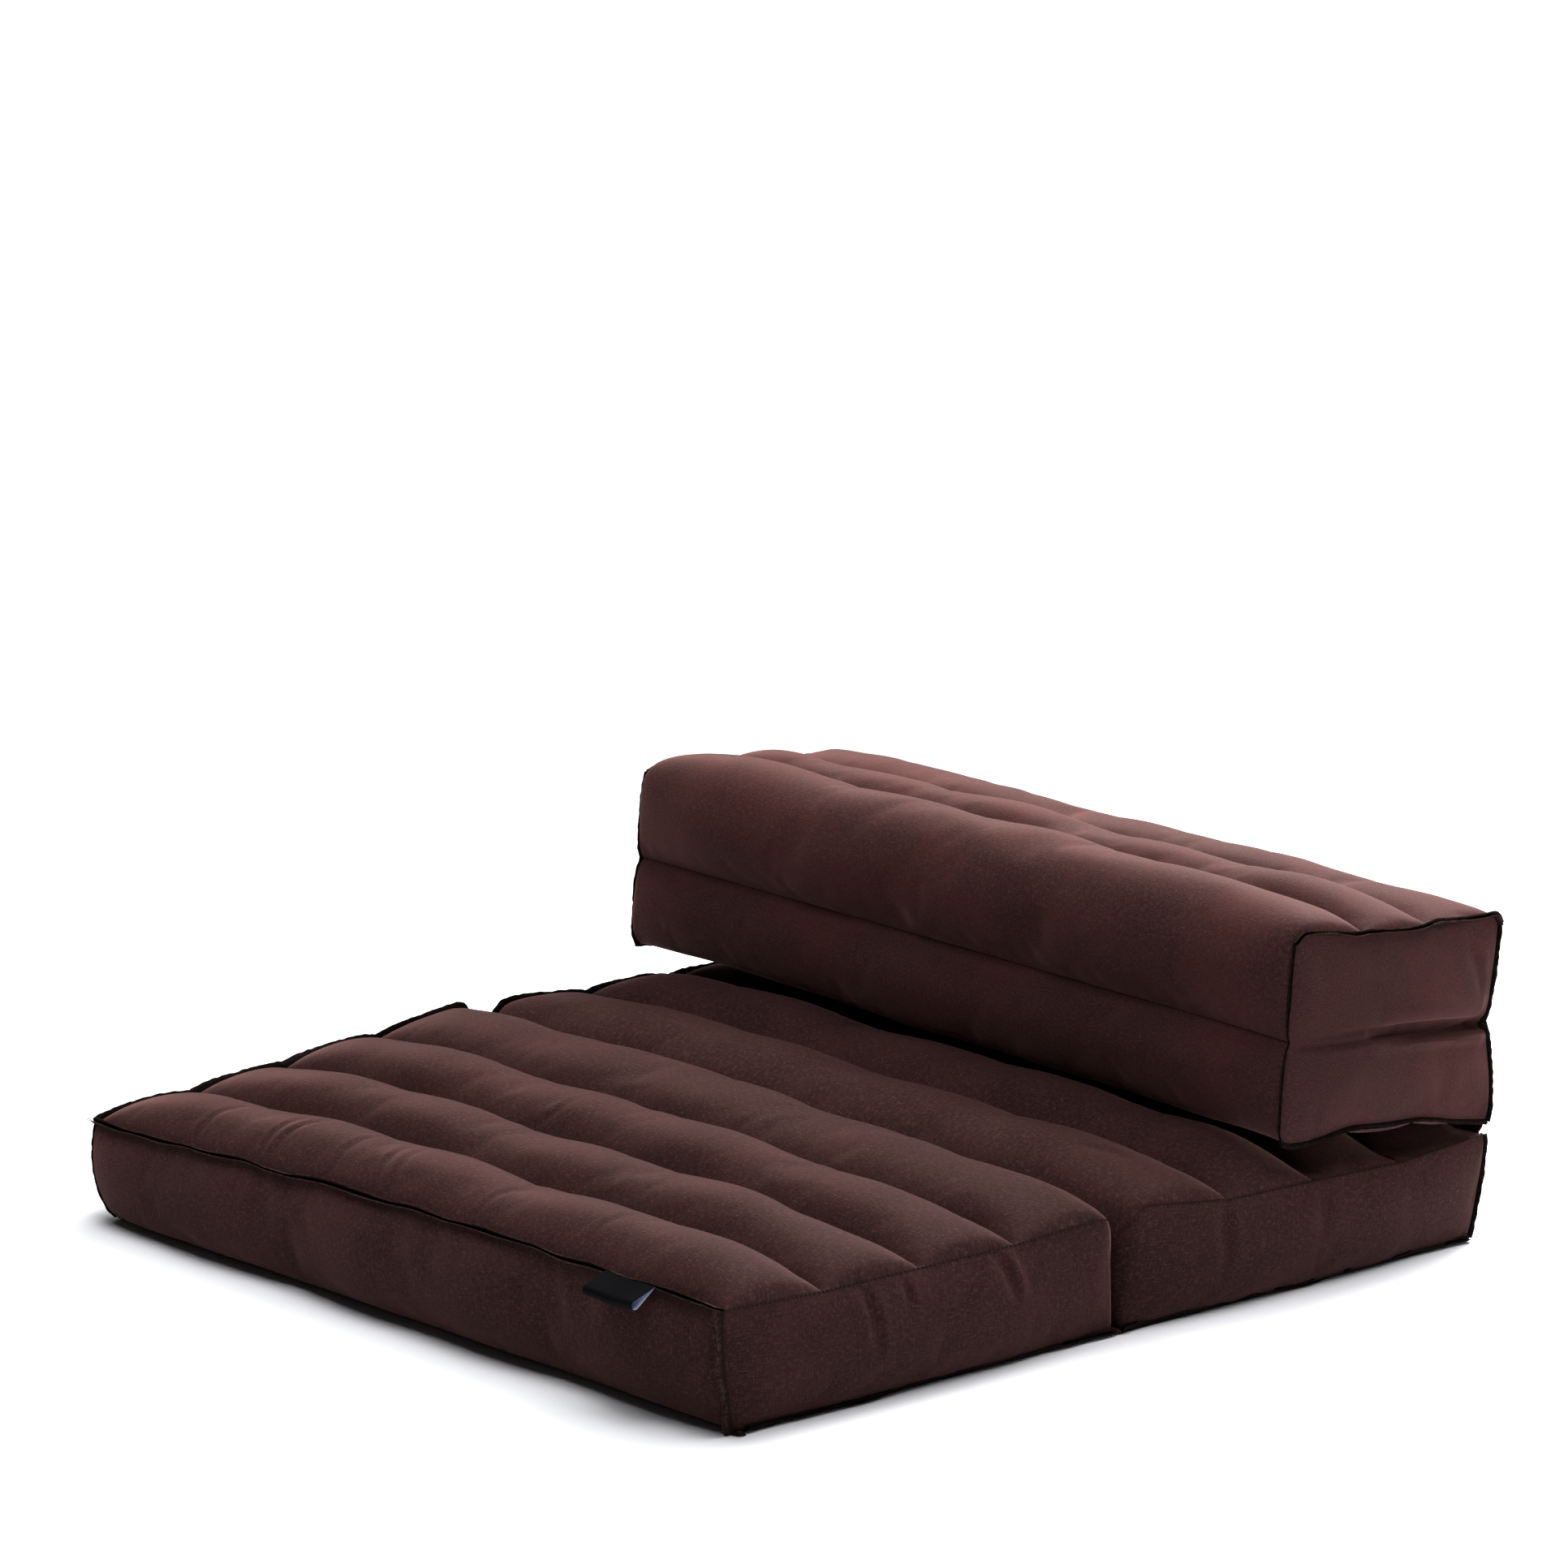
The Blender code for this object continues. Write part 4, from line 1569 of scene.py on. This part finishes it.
@dataclass
class SeamAllowance:
    """The two cut edges of cloth that stand outside a seam, as separate wavy layers.

    Attributes:
        height: height from the seam to the rim.
        layer: thickness of a layer.
        root: how far it starts inside the seam.
        least_gap: space between the layers where they lie together.
        most_gap: space where they open.
        lean: how far the rim leans to one side.
        trimming: share of the height that is left along the seam.
        pucker: height of the small puckers along the rim.
        opening: how far the layers open, with 0 and less for closed and 1 and more for open.
        upright: share by which it is turned to stand straight up.
        step: distance between the points along the seam.
        rows: points up a layer.
        lift: how far an allowance on the floor is turned up, in radians.
        floor: an allowance that starts lower than this lies on the floor.
        peak: height of a turned-up fold near the seam's end.
        peak_width: half the width of that fold.
        peak_from_end: how far from the end it is.
        frayed: thickness of a layer at its rim, as a share.
    """

    height: float = 0.0042
    layer: float = 0.0007
    root: float = 0.0012
    least_gap: float = 0.0002
    most_gap: float = 0.0016
    lean: Wander = Wander(0.0, 0.0020, 0.042)
    trimming: Wander = Wander(1.0, 0.12, 0.03)
    pucker: Wander = Wander(0.0, 0.0005, 0.0045)
    opening: Wander = Wander(0.4, 0.9, 0.045)
    upright: float = 0.0
    step: float = 0.0018
    rows: int = 4
    lift: Wander = Wander(radians(46.8), radians(25.2), 0.12)
    floor: float = 0.003
    peak: float = 0.0
    peak_width: float = 0.006
    peak_from_end: float = 0.012
    frayed: float = 0.55

    def build(self, strips: StripBuilder, line: SeamLine, seed: float) -> None:
        """Add both layers along a seam.

        Args:
            strips: where the layers go.
            line: the seam's points and outward directions.
            seed: makes this seam's waves different from the others'.
        """
        even = line.even(self.step)
        last = len(even) - 1
        rings: tuple[list, list] = ([], [])
        for index, (point, out) in enumerate(even):
            distance = index * self.step
            ahead = even[min(index + 1, last)][0] - even[max(index - 1, 0)][0]
            ahead.normalize()
            out = out.lerp(Vector((0, 0, 1)), self.upright)
            out = (out - ahead * out.dot(ahead)).normalized()
            if point.z < self.floor:
                turn = self.lift.at(distance, seed + 3)
                flat = Vector((out.x, out.y, 0)).normalized()
                out = flat * cos(turn) + Vector((0, 0, sin(turn)))
            side = ahead.cross(out).normalized()
            height = self.height * self.trimming.at(distance, seed) + self.pucker.at(distance, seed + 1)
            from_peak = last * self.step - distance - self.peak_from_end
            height += self.peak * max(0.0, 1 - abs(from_peak) / self.peak_width)
            lean = self.lean.at(distance, seed + 2)
            opening = min(1.0, max(0.0, self.opening.at(distance, seed + 4)))
            gap = mix(self.least_gap, self.most_gap, opening)
            for number, hand in enumerate((-1, 1)):
                inner, outer = [], []
                for row in range(self.rows + 1):
                    share = row / self.rows
                    up = mix(-self.root, height, share)
                    bow = lean * share**1.5 + hand * (self.least_gap / 2 + gap * share**1.4)
                    base = point + out * up + side * bow
                    thick = side * hand * self.layer * (1.0 if row < self.rows else self.frayed)
                    if base.z < self.layer and point.z < self.floor:
                        base.z = self.layer
                    inner.append((base, share))
                    outer.append((base + thick, share))
                ring = inner + outer[::-1]
                rings[number].append([(above_floor(place), rim) for place, rim in ring])
        for layer in rings:
            strips.sweep(layer, self.step)


ON_FLOOR = SeamAllowance(height=0.0066)
STANDING = SeamAllowance(height=0.0054, upright=0.8)
TRIMMED_CLOSE = SeamAllowance(height=0.0015, lean=Wander(0.0, 0.0008, 0.042), most_gap=0.0006)
FOLDED_OVER = SeamAllowance(height=0.0044, lean=Wander(-0.0046, 0.0022, 0.030), most_gap=0.0005)
ALONG_FRONT = SeamAllowance(
    height=0.0048, least_gap=0.0005, most_gap=0.0017, lean=Wander(0.0, 0.0026, 0.042), peak=0.0060
)
OVERLOCKED = SeamAllowance(height=0.0030, root=0.0030, most_gap=0.0006)


@dataclass
class StitchRow:
    """A row of lockstitches.

    Attributes:
        pitch: from one stitch to the next.
        length: length of the thread that shows.
        radius: radius of the thread.
        lift: how far the stitches stand out of the cloth.
        profile: (share of the length, share of the thickness) of the sections in a stitch.
    """

    pitch: float = 0.0038
    length: float = 0.0032
    radius: float = 0.00050
    lift: float = 0.0003
    profile: tuple[tuple[float, float], ...] = ((0.0, 0.35), (0.2, 1.0), (0.8, 1.0), (1.0, 0.35))

    def build(self, strips: StripBuilder, line: SeamLine) -> None:
        """Add the stitches along a line.

        Args:
            strips: where the stitches go.
            line: the line's points and outward directions.
        """
        even = line.even(self.pitch, smoothing=1)
        for (start, out), (following, _) in zip(even, even[1:]):
            ahead = (following - start).normalized()
            side = ahead.cross(out).normalized()
            rings = []
            for share, thick in self.profile:
                centre = start + ahead * self.length * share + out * self.lift * thick
                rings.append(round_section(centre, side, out, self.radius * thick, 0.0))
            strips.sweep(rings, self.pitch)


@dataclass
class ThreadEnd:
    """Loose ends of thread at a corner.

    Attributes:
        place: where they come out.
        toward: the way they point.
        length: their length.
        count: how many there are.
        radius: radius of a thread.
        steps: sections in its length.
        spread: how far the threads part and curl.
    """

    place: Place
    toward: Place
    length: float
    count: int = 2
    radius: float = 0.00028
    steps: int = 7
    spread: float = 0.5

    def build(self, strips: StripBuilder, seed: int) -> None:
        """Add the thread ends.

        Args:
            strips: where they go.
            seed: makes these ends different from the others.
        """
        draw = random.Random(seed)
        for _ in range(self.count):
            heading = Vector(self.toward).normalized()
            heading += Vector([draw.uniform(-self.spread, self.spread) for _ in range(3)])
            heading.normalize()
            curl = Vector([draw.uniform(-self.spread, self.spread) for _ in range(3)])
            length = self.length * draw.uniform(0.6, 1.0)
            rings = []
            place = Vector(self.place)
            for step in range(self.steps + 1):
                turned = (heading + curl * step / self.steps).normalized()
                place = place + turned * length / self.steps
                side = turned.cross(Vector((0.3, 0.2, 0.9))).normalized()
                rings.append(round_section(place, side, turned.cross(side), self.radius, 0.6))
            strips.sweep(rings)


@dataclass
class CushionSewing:
    """Seam allowances, stitches and thread ends of one cushion.

    Attributes:
        cushion: the cushion that they are on.
        brown: finish of cut edges of the cloth, with painted shade at the root and painted highlight at the
            rim.
        dark: finish of overlocked edges, near black: partly black thread, partly painted shade.
        thread: finish of the stitches, partly painted shade of the seam's groove.
        thread_ends: loose ends of thread.
    """

    cushion: FilledCushion
    brown: CutClothEdge
    dark: CutClothEdge
    thread: SpunSewingThread
    thread_ends: tuple[ThreadEnd, ...] = ()

    def allowance(self, seam: Seam, trim: Trim) -> SeamAllowance:
        """Sizes of the allowance at a seam.

        Args:
            seam: the seam.
            trim: how the cloth is finished there.

        Returns:
            The allowance.
        """
        if seam.along is Side.FOOT and self.cushion.bundle is not BACK_BLOCK:
            return ON_FLOOR
        if trim is Trim.UPRIGHT:
            return STANDING
        if trim is Trim.NARROW:
            return TRIMMED_CLOSE
        if trim is Trim.BROWN and seam.along is Side.FRONT:
            return FOLDED_OVER
        if seam.end is None:
            return ALONG_FRONT
        return OVERLOCKED if trim is Trim.DARK else SeamAllowance()

    def build(self) -> list[bpy.types.Object]:
        """Build the pieces from the body's seams, before the body is refined.

        Returns:
            The pieces, without the ones that nothing was added to.
        """
        bundle = self.cushion.bundle
        brown = StripBuilder(bundle.name + "_seam_edges", bundle.slot)
        dark = StripBuilder(bundle.name + "_overlocked_edges", bundle.slot)
        stitches = StripBuilder(bundle.name + "_stitches", bundle.slot)
        for number, (seam, trim) in enumerate(bundle.trims.items()):
            line = self.cushion.sewn_line(self.cushion.seams[seam])
            if trim is Trim.STITCHED:
                StitchRow().build(stitches, line)
            else:
                strips = brown if trim is Trim.BROWN else dark
                self.allowance(seam, trim).build(strips, line, number + bundle.phase)
        for row in self.cushion.stitch_rows:
            StitchRow().build(stitches, self.cushion.sewn_line(row))
        for number, thread_end in enumerate(self.thread_ends):
            thread_end.build(dark, number)
        pieces = ((brown, self.brown), (dark, self.dark), (stitches, self.thread))
        return [strips.finish([finish.material()]) for strips, finish in pieces if strips.bm.faces]


@dataclass
class HingeStrip:
    """Cloth that joins two cushions.

    Attributes:
        cotton: finish of the cloth.
        name: name of the solid that it stands for.
        inset: how far it stops short of the cushions' end seams.
        held: how it is held; not used.
        rests_on: the pieces that it is sewn to; not used.
        bow: how far its middle stands out, as (y, z).
        steps: sections in its length.
        width_points: points across it.
        thickness: thickness of the cloth.
        ripple: height of its ripples.
        ripple_width: width of a ripple along the strip.
        sewn_in: width that is caught in its two seams, and so isn't drawn; not used.
    """

    cotton: PlainWovenCotton
    name: str
    inset: float
    held: str
    rests_on: tuple[str, ...]
    bow: tuple[float, float]
    steps: int = 140
    width_points: int = 8
    thickness: float = 0.0012
    ripple: float = 0.0006
    ripple_width: float = 0.018
    sewn_in: float = 0.003

    @staticmethod
    def corner(bundle: Bundle, line: Line, along: float) -> Vector:
        """A cushion's corner line at a share of its length, as a (y, z) world vector."""
        return SectionCurve(bundle).corners(along)[line.value] - Vector((MIDDLE_Y, 0))

    def edges(self, along: float) -> tuple[Vector, Vector]:
        """The strip's two edges at a share of its length, as (y, z) world vectors."""
        raise NotImplementedError

    def middle_line(self, along: float) -> list[Vector]:
        """Points across the strip at a share of its length.

        Args:
            along: that share.

        Returns:
            The points, as (y, z) world vectors.
        """
        start, stop = self.edges(along)
        shares = [index / self.width_points for index in range(self.width_points + 1)]
        return [start.lerp(stop, share) + Vector(self.bow) * sin(pi * share) for share in shares]

    def build(self) -> bpy.types.Object:
        """Build and dress the strip.

        Returns:
            The piece.
        """
        strips = StripBuilder(self.name + "_cloth", "hinge_cotton")
        rings = []
        length = 2 * (HALF_LENGTH - self.inset)
        for step in range(self.steps + 1):
            along = step / self.steps
            x = mix(-1, 1, along) * (HALF_LENGTH - self.inset)
            line = self.middle_line(along)
            upper, lower = [], []
            for index, point in enumerate(line):
                ahead = line[min(index + 1, len(line) - 1)] - line[max(index - 1, 0)]
                normal = Vector((-ahead.y, ahead.x)).normalized()
                share = index / (len(line) - 1)
                wave = noise.noise(Vector((x / self.ripple_width, share, 2.0)))
                ripple = self.ripple * sin(pi * share) * wave
                raised = point + normal * (self.thickness / 2 + ripple)
                dropped = point + normal * (ripple - self.thickness / 2)
                upper.append((above_floor(Vector((x, *raised))), 0.0))
                lower.append((above_floor(Vector((x, *dropped))), 0.0))
            rings.append(upper + lower[::-1])
        strips.sweep(rings, length / self.steps)
        made = strips.finish([self.cotton.material()])
        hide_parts(self.name)
        line = self.middle_line(0.5)
        return made


@dataclass
class FoldHinge(HingeStrip):
    """Strip on the floor between the feet of the two floor cushions, pushed up in the middle."""

    name: str = "fold_hinge"
    inset: float = 0.003
    held: str = "laid"
    rests_on: tuple[str, ...] = ("front_cushion_cloth", "rear_cushion_cloth")
    bow: tuple[float, float] = (0.0, 0.003)

    def edges(self, along: float) -> tuple[Vector, Vector]:
        """The strip's two edges at a share of its length.

        Args:
            along: that share.

        Returns:
            The edges, as (y, z) world vectors.
        """
        inward = Vector((CLOTH_GAP + self.thickness / 2, 0))
        height = Vector((0, self.thickness / 2))
        front = self.corner(FRONT_CUSHION, Line.REAR_FOOT, along) + height
        rear = self.corner(REAR_CUSHION, Line.FRONT_FOOT, along) + height
        return front + inward, rear - inward


@dataclass
class BackHinge(HingeStrip):
    """Strip that joins the rear cushion's top edge to the block's foot, bowed out to the rear."""

    name: str = "back_hinge"
    inset: float = 0.007
    held: str = "hung"
    rests_on: tuple[str, ...] = ("rear_cushion_cloth", "back_block_cloth")
    bow: tuple[float, float] = (0.004, 0.0)

    def edges(self, along: float) -> tuple[Vector, Vector]:
        """The strip's two edges at a share of its length.

        Args:
            along: that share.

        Returns:
            The edges, as (y, z) world vectors.
        """
        out = Vector((2 * CLOTH_GAP, 0))
        low = self.corner(REAR_CUSHION, Line.REAR_TOP, along)
        high = self.corner(BACK_BLOCK, Line.REAR_FOOT, along)
        return low + out, high + out


@dataclass
class FoldedLabel:
    """Plain woven label, folded in two with both ends held under the front top seam.

    Attributes:
        face: finish of its outside.
        back: finish of its inside.
        middle_x: where its middle is along the seam.
        width: width along the seam.
        length: from the seam to the fold.
        thickness: thickness of the tape.
        loop: space between its layers at the fold.
        droop: how far it hangs, in radians.
        root: where it leaves the seam, as y from the front edge and z.
        steps: points along each layer.
        across: sections in its width.
        curl: how far its ends curl up.
        flutter: height of its slight waves.
        flutters: how many of them there are in its width.
    """

    face: SatinWovenTape
    back: SatinWovenTape
    middle_x: float = 0.260
    width: float = 0.050
    length: float = 0.0190
    thickness: float = 0.0006
    loop: float = 0.0062
    droop: float = 0.58
    root: tuple[float, float] = (-0.0056, 0.0898)
    steps: int = 8
    across: int = 24
    curl: float = 0.0012
    flutter: float = 0.0004
    flutters: float = 1.3

    def section(self) -> tuple[list[tuple[float, float]], list[int]]:
        """Section of the folded tape in its own plane.

        Returns:
            Its points as (out, up), and for each facet 0 for the outside and 1 for the inside.
        """
        outline, sides = [], []
        for rise, depth in ((self.thickness, 1), (0.0, -1)):
            radius = self.loop / 2 + rise
            half = []
            for step in range(self.steps + 1):
                share = step / self.steps
                half.append((self.length * share, mix(CLOTH_GAP / 2, self.loop / 2, share) + rise))
            for step in range(1, self.steps + 1):
                turn = 0.5 * pi * step / self.steps
                half.append((self.length + radius * sin(turn), radius * cos(turn)))
            whole = half + [(out, -up) for out, up in half[-2::-1]]
            outline += whole[::depth]
            sides += [0 if depth == 1 else 1] * len(whole)
        return outline, sides

    def build(self) -> bpy.types.Object:
        """Build and dress the label.

        Returns:
            The piece.
        """
        strips = StripBuilder("label_tape", "label_weave")
        out = Vector((0, -cos(self.droop), -sin(self.droop)))
        up = Vector((0, -sin(self.droop), cos(self.droop)))
        root = Vector((0, self.root[0] - MIDDLE_Y, self.root[1]))
        outline, sides = self.section()
        rings = []
        for step in range(self.across + 1):
            share = step / self.across
            x = self.middle_x + self.width * (share - 0.5)
            bend = self.curl * (2 * share - 1) ** 2 + self.flutter * sin(2 * pi * self.flutters * share)
            start = root + Vector((x, 0, 0))
            ring = [start + out * far + up * (rise + bend * far / self.length) for far, rise in outline]
            rings.append([(place, 0.0) for place in ring])
        strips.sweep(rings, self.width / self.across, sides)
        made = strips.finish([self.face.material(), self.back.material()])
        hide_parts("label")
        return made


# Studio


@dataclass(frozen=True)
class PaintedStudioFloor(Finish):
    """Matt white studio paint, rolled, with a faint orange-peel texture that only softens its look.

    Attributes:
        colour: colour of the paint.
        peel_mm: width of the paint's texture.
    """

    name: str = "matt_white_paint"
    colour: str = "#eaebef"
    peel_mm: float = 3.0

    def surface(self, tree: bpy.types.NodeTree) -> Inputs:
        """Roll the paint on.

        Args:
            tree: the material's node tree.

        Returns:
            A value or a socket for each input of the shader.
        """
        place = add_node(tree, "ShaderNodeTexCoord", output="Object")
        pattern = {"Vector": place, "Scale": per_metre(self.peel_mm), "Detail": 1.0}
        peel = add_node(tree, "ShaderNodeTexNoise", pattern)
        relief = {"Height": peel, "Strength": 0.02, "Distance": 0.1 * MILLIMETRE}
        return {
            "Base Color": linear(self.colour),
            "Normal": add_node(tree, "ShaderNodeBump", relief),
            "Roughness": 0.85,
            "Specular IOR Level": 0.1,
        }


@dataclass(frozen=True)
class BroadLight:
    """Even light from a broad stretch of the surroundings.

    Attributes:
        name: its name.
        come_from: the way that it comes from.
        strength: its strength in watts a square metre.
        spread: how broad it is, in degrees.
    """

    name: str
    come_from: Place
    strength: float
    spread: float

    def build(self) -> None:
        """Add the light."""
        data = bpy.data.lights.new(self.name, "SUN")
        data.energy = self.strength
        data.angle = radians(self.spread)
        made = link_object(self.name, data)
        made.rotation_euler = (-Vector(self.come_from)).to_track_quat("-Z", "Y").to_euler()


@dataclass(frozen=True)
class SoftBox:
    """A square area light.

    Attributes:
        name: its name.
        place: its middle, in metres.
        aim: the point that it faces.
        size: length of its side.
        power: its power in watts.
        colour: colour of its light.
    """

    name: str
    place: Place
    aim: Place
    size: float
    power: float
    colour: str = "#ffffff"

    def build(self) -> None:
        """Add the light."""
        data = bpy.data.lights.new(self.name, "AREA")
        data.shape = "SQUARE"
        data.size = self.size
        data.energy = self.power
        data.color = linear(self.colour)[:3]
        made = link_object(self.name, data)
        made.visible_camera = False
        made.location = self.place
        made.rotation_euler = (Vector(self.aim) - Vector(self.place)).to_track_quat("-Z", "Y").to_euler()


@dataclass
class Studio:
    """White floor, soft lights and the camera.

    Attributes:
        floor_finish: finish of the floor.
        floor_size: length of the floor's side.
        sky: strength of the white surroundings.
        suns: the broad lights.
        boxes: the soft boxes.
        camera_place: the camera's place.
        heading: degrees that it is turned, seen from above, from looking along +Y.
        pitch: degrees that it looks down.
        focal_pixels: focal length in pixels of the square frame.
        frame_pixels: width of that frame in pixels.
        sensor: width of the sensor in millimetres.
    """

    floor_finish: PaintedStudioFloor = PaintedStudioFloor()
    floor_size: float = 120.0
    sky: float = 0.03
    suns: tuple[BroadLight, ...] = (
        BroadLight("broad_overhead", (0.1, 0.48, 1.6), 3.5, 55.0),
        BroadLight("bright_back_wall", (-0.45, 0.95, 0.40), 1.4, 45.0),
    )
    boxes: tuple[SoftBox, ...] = (
        SoftBox("front_overhead", (0.05, -0.45, 1.0), (0.0, 0.10, 0.15), 0.6, 6.0),
        SoftBox("right_box", (1.25, 0.95, 0.26), (0.35, 0.25, 0.1), 0.45, 3.0),
        SoftBox("rear_box", (-0.10, 1.0, 0.85), (0.0, 0.30, 0.25), 0.8, 40.0),
    )
    camera_place: Place = (3.393, -2.9438, 1.293)
    heading: float = 49.04
    pitch: float = 12.14
    focal_pixels: float = 8000.0
    frame_pixels: float = 1932.0
    sensor: float = 36.0

    def build_floor(self) -> None:
        """Lay the floor."""
        bm = bmesh.new()
        bmesh.ops.create_grid(bm, x_segments=8, y_segments=8, size=self.floor_size / 2)
        mesh = bpy.data.meshes.new("studio_floor")
        bm.to_mesh(mesh)
        bm.free()
        mesh.materials.append(self.floor_finish.material())
        link_object("studio_floor", mesh)

    def build_lights(self) -> None:
        """Light the scene from above and behind."""
        world = bpy.data.worlds.new("white_surroundings")
        world.use_nodes = True
        background = world.node_tree.nodes["Background"]
        background.inputs["Color"].default_value = (1.0, 1.0, 1.0, 1.0)
        background.inputs["Strength"].default_value = self.sky
        bpy.context.scene.world = world
        for light in (*self.suns, *self.boxes):
            light.build()

    def build_camera(self) -> None:
        """Add the camera."""
        data = bpy.data.cameras.new("camera")
        data.sensor_width = self.sensor
        data.lens = self.focal_pixels / self.frame_pixels * self.sensor
        data.clip_end = self.floor_size
        made = link_object("camera", data)
        turn, dip = radians(-self.heading), radians(self.pitch)
        ahead = Vector((sin(turn) * cos(dip), cos(turn) * cos(dip), -sin(dip)))
        right = Vector((cos(turn), -sin(turn), 0.0))
        matrix = Matrix((right, right.cross(ahead), -ahead)).transposed().to_4x4()
        matrix.translation = self.camera_place
        made.matrix_world = matrix
        bpy.context.scene.camera = made

    def build(self) -> None:
        """Build the whole studio."""
        self.build_floor()
        self.build_lights()
        self.build_camera()
        bpy.context.scene.view_settings.view_transform = "Standard"


THREAD_ENDS: dict[str, tuple[ThreadEnd, ...]] = {
    "front_cushion": (
        ThreadEnd((-0.3495, -0.3525, 0.0690), (-0.5, -0.6, 0.5), 0.007),
        ThreadEnd((-0.3500, -0.0200, 0.0960), (-0.2, 0.1, 0.9), 0.010, 1),
    ),
    "rear_cushion": (ThreadEnd((0.343, 0.346, 0.002), (0.6, 0.7, 0.35), 0.011, 3),),
}


def simulate(cushions: Sequence[FilledCushion]) -> None:
    """Blow all cushions up in one run of the cloth simulation.

    Args:
        cushions: the cushions, with their bodies built.
    """
    scene = bpy.context.scene
    for cushion in cushions:
        cushion.add_cloth()
    for number in range(1, max(cushion.frames for cushion in cushions) + 1):
        scene.frame_set(number)
    for cushion in cushions:
        cushion.keep_cloth()
    scene.frame_set(1)


def main() -> None:
    """Build every piece in order."""
    cotton = PlainWovenCotton("plain_woven_cotton_dyed_brown")
    # The block's cloth is the cushions' cotton, a little redder, and coloured lighter: that lightness is
    # painted light, so that the block's faces look more lit than the cushions'.
    redder = PlainWovenCotton("plain_woven_cotton_red_brown_painted_lighter", "#2d1a1a", "#381d1d", "#432c29")
    # Brown cut edges: painted shade at the root, painted highlight mixed with fray at the rim.
    brown_edge = CutClothEdge("cut_cotton_edge_brown_painted_shade_and_highlight", root="#1a0f0e", rim="#3a2825")
    # Near-black edges: partly black overlock thread, partly painted shade.
    dark_thread_and_shade_edge = CutClothEdge("overlocked_cotton_edge_black_painted_shade", root="#0b0706", rim="#1e1412")
    # Dark thread: partly its dye, partly painted shade of the seam's groove.
    thread = SpunSewingThread("spun_polyester_thread_dark_brown_with_groove_shade", colour="#1c110f", shade="#070403")
    cushions = [
        FilledCushion(FRONT_CUSHION, cotton),
        FilledCushion(REAR_CUSHION, cotton),
        FilledCushion(BACK_BLOCK, redder),
    ]
    for cushion in cushions:
        cushion.build_body()
        cushion.lay_filling()
        LOG.info("%s body has %d points", cushion.bundle.name, len(cushion.body.data.vertices))
    simulate(cushions)
    for cushion in cushions:
        sewing = CushionSewing(
            cushion, brown_edge, dark_thread_and_shade_edge, thread, THREAD_ENDS.get(cushion.bundle.name, ())
        )
        for piece in sewing.build():
            LOG.info("%s has %d faces", piece.name, len(piece.data.polygons))
        cushion.refine()
        cushion.press_creases()
        cushion.dress()
        LOG.info("%s has %d faces", cushion.body.name, len(cushion.body.data.polygons))
    for hinge in (FoldHinge(cotton), BackHinge(cotton)):
        LOG.info("%s has %d faces", hinge.name, len(hinge.build().data.polygons))
    face = SatinWovenTape("satin_woven_tape_black", colour="#040405", rib_colour="#09090c")
    back = SatinWovenTape("satin_woven_tape_back", colour="#b4bade", rib_colour="#dadff2")
    LOG.info("label has %d faces", len(FoldedLabel(face, back).build().data.polygons))
    Studio().build()
    LOG.info("studio is built")


if __name__ == "__main__":
    logging.basicConfig(level=logging.INFO, format="%(message)s")
    main()
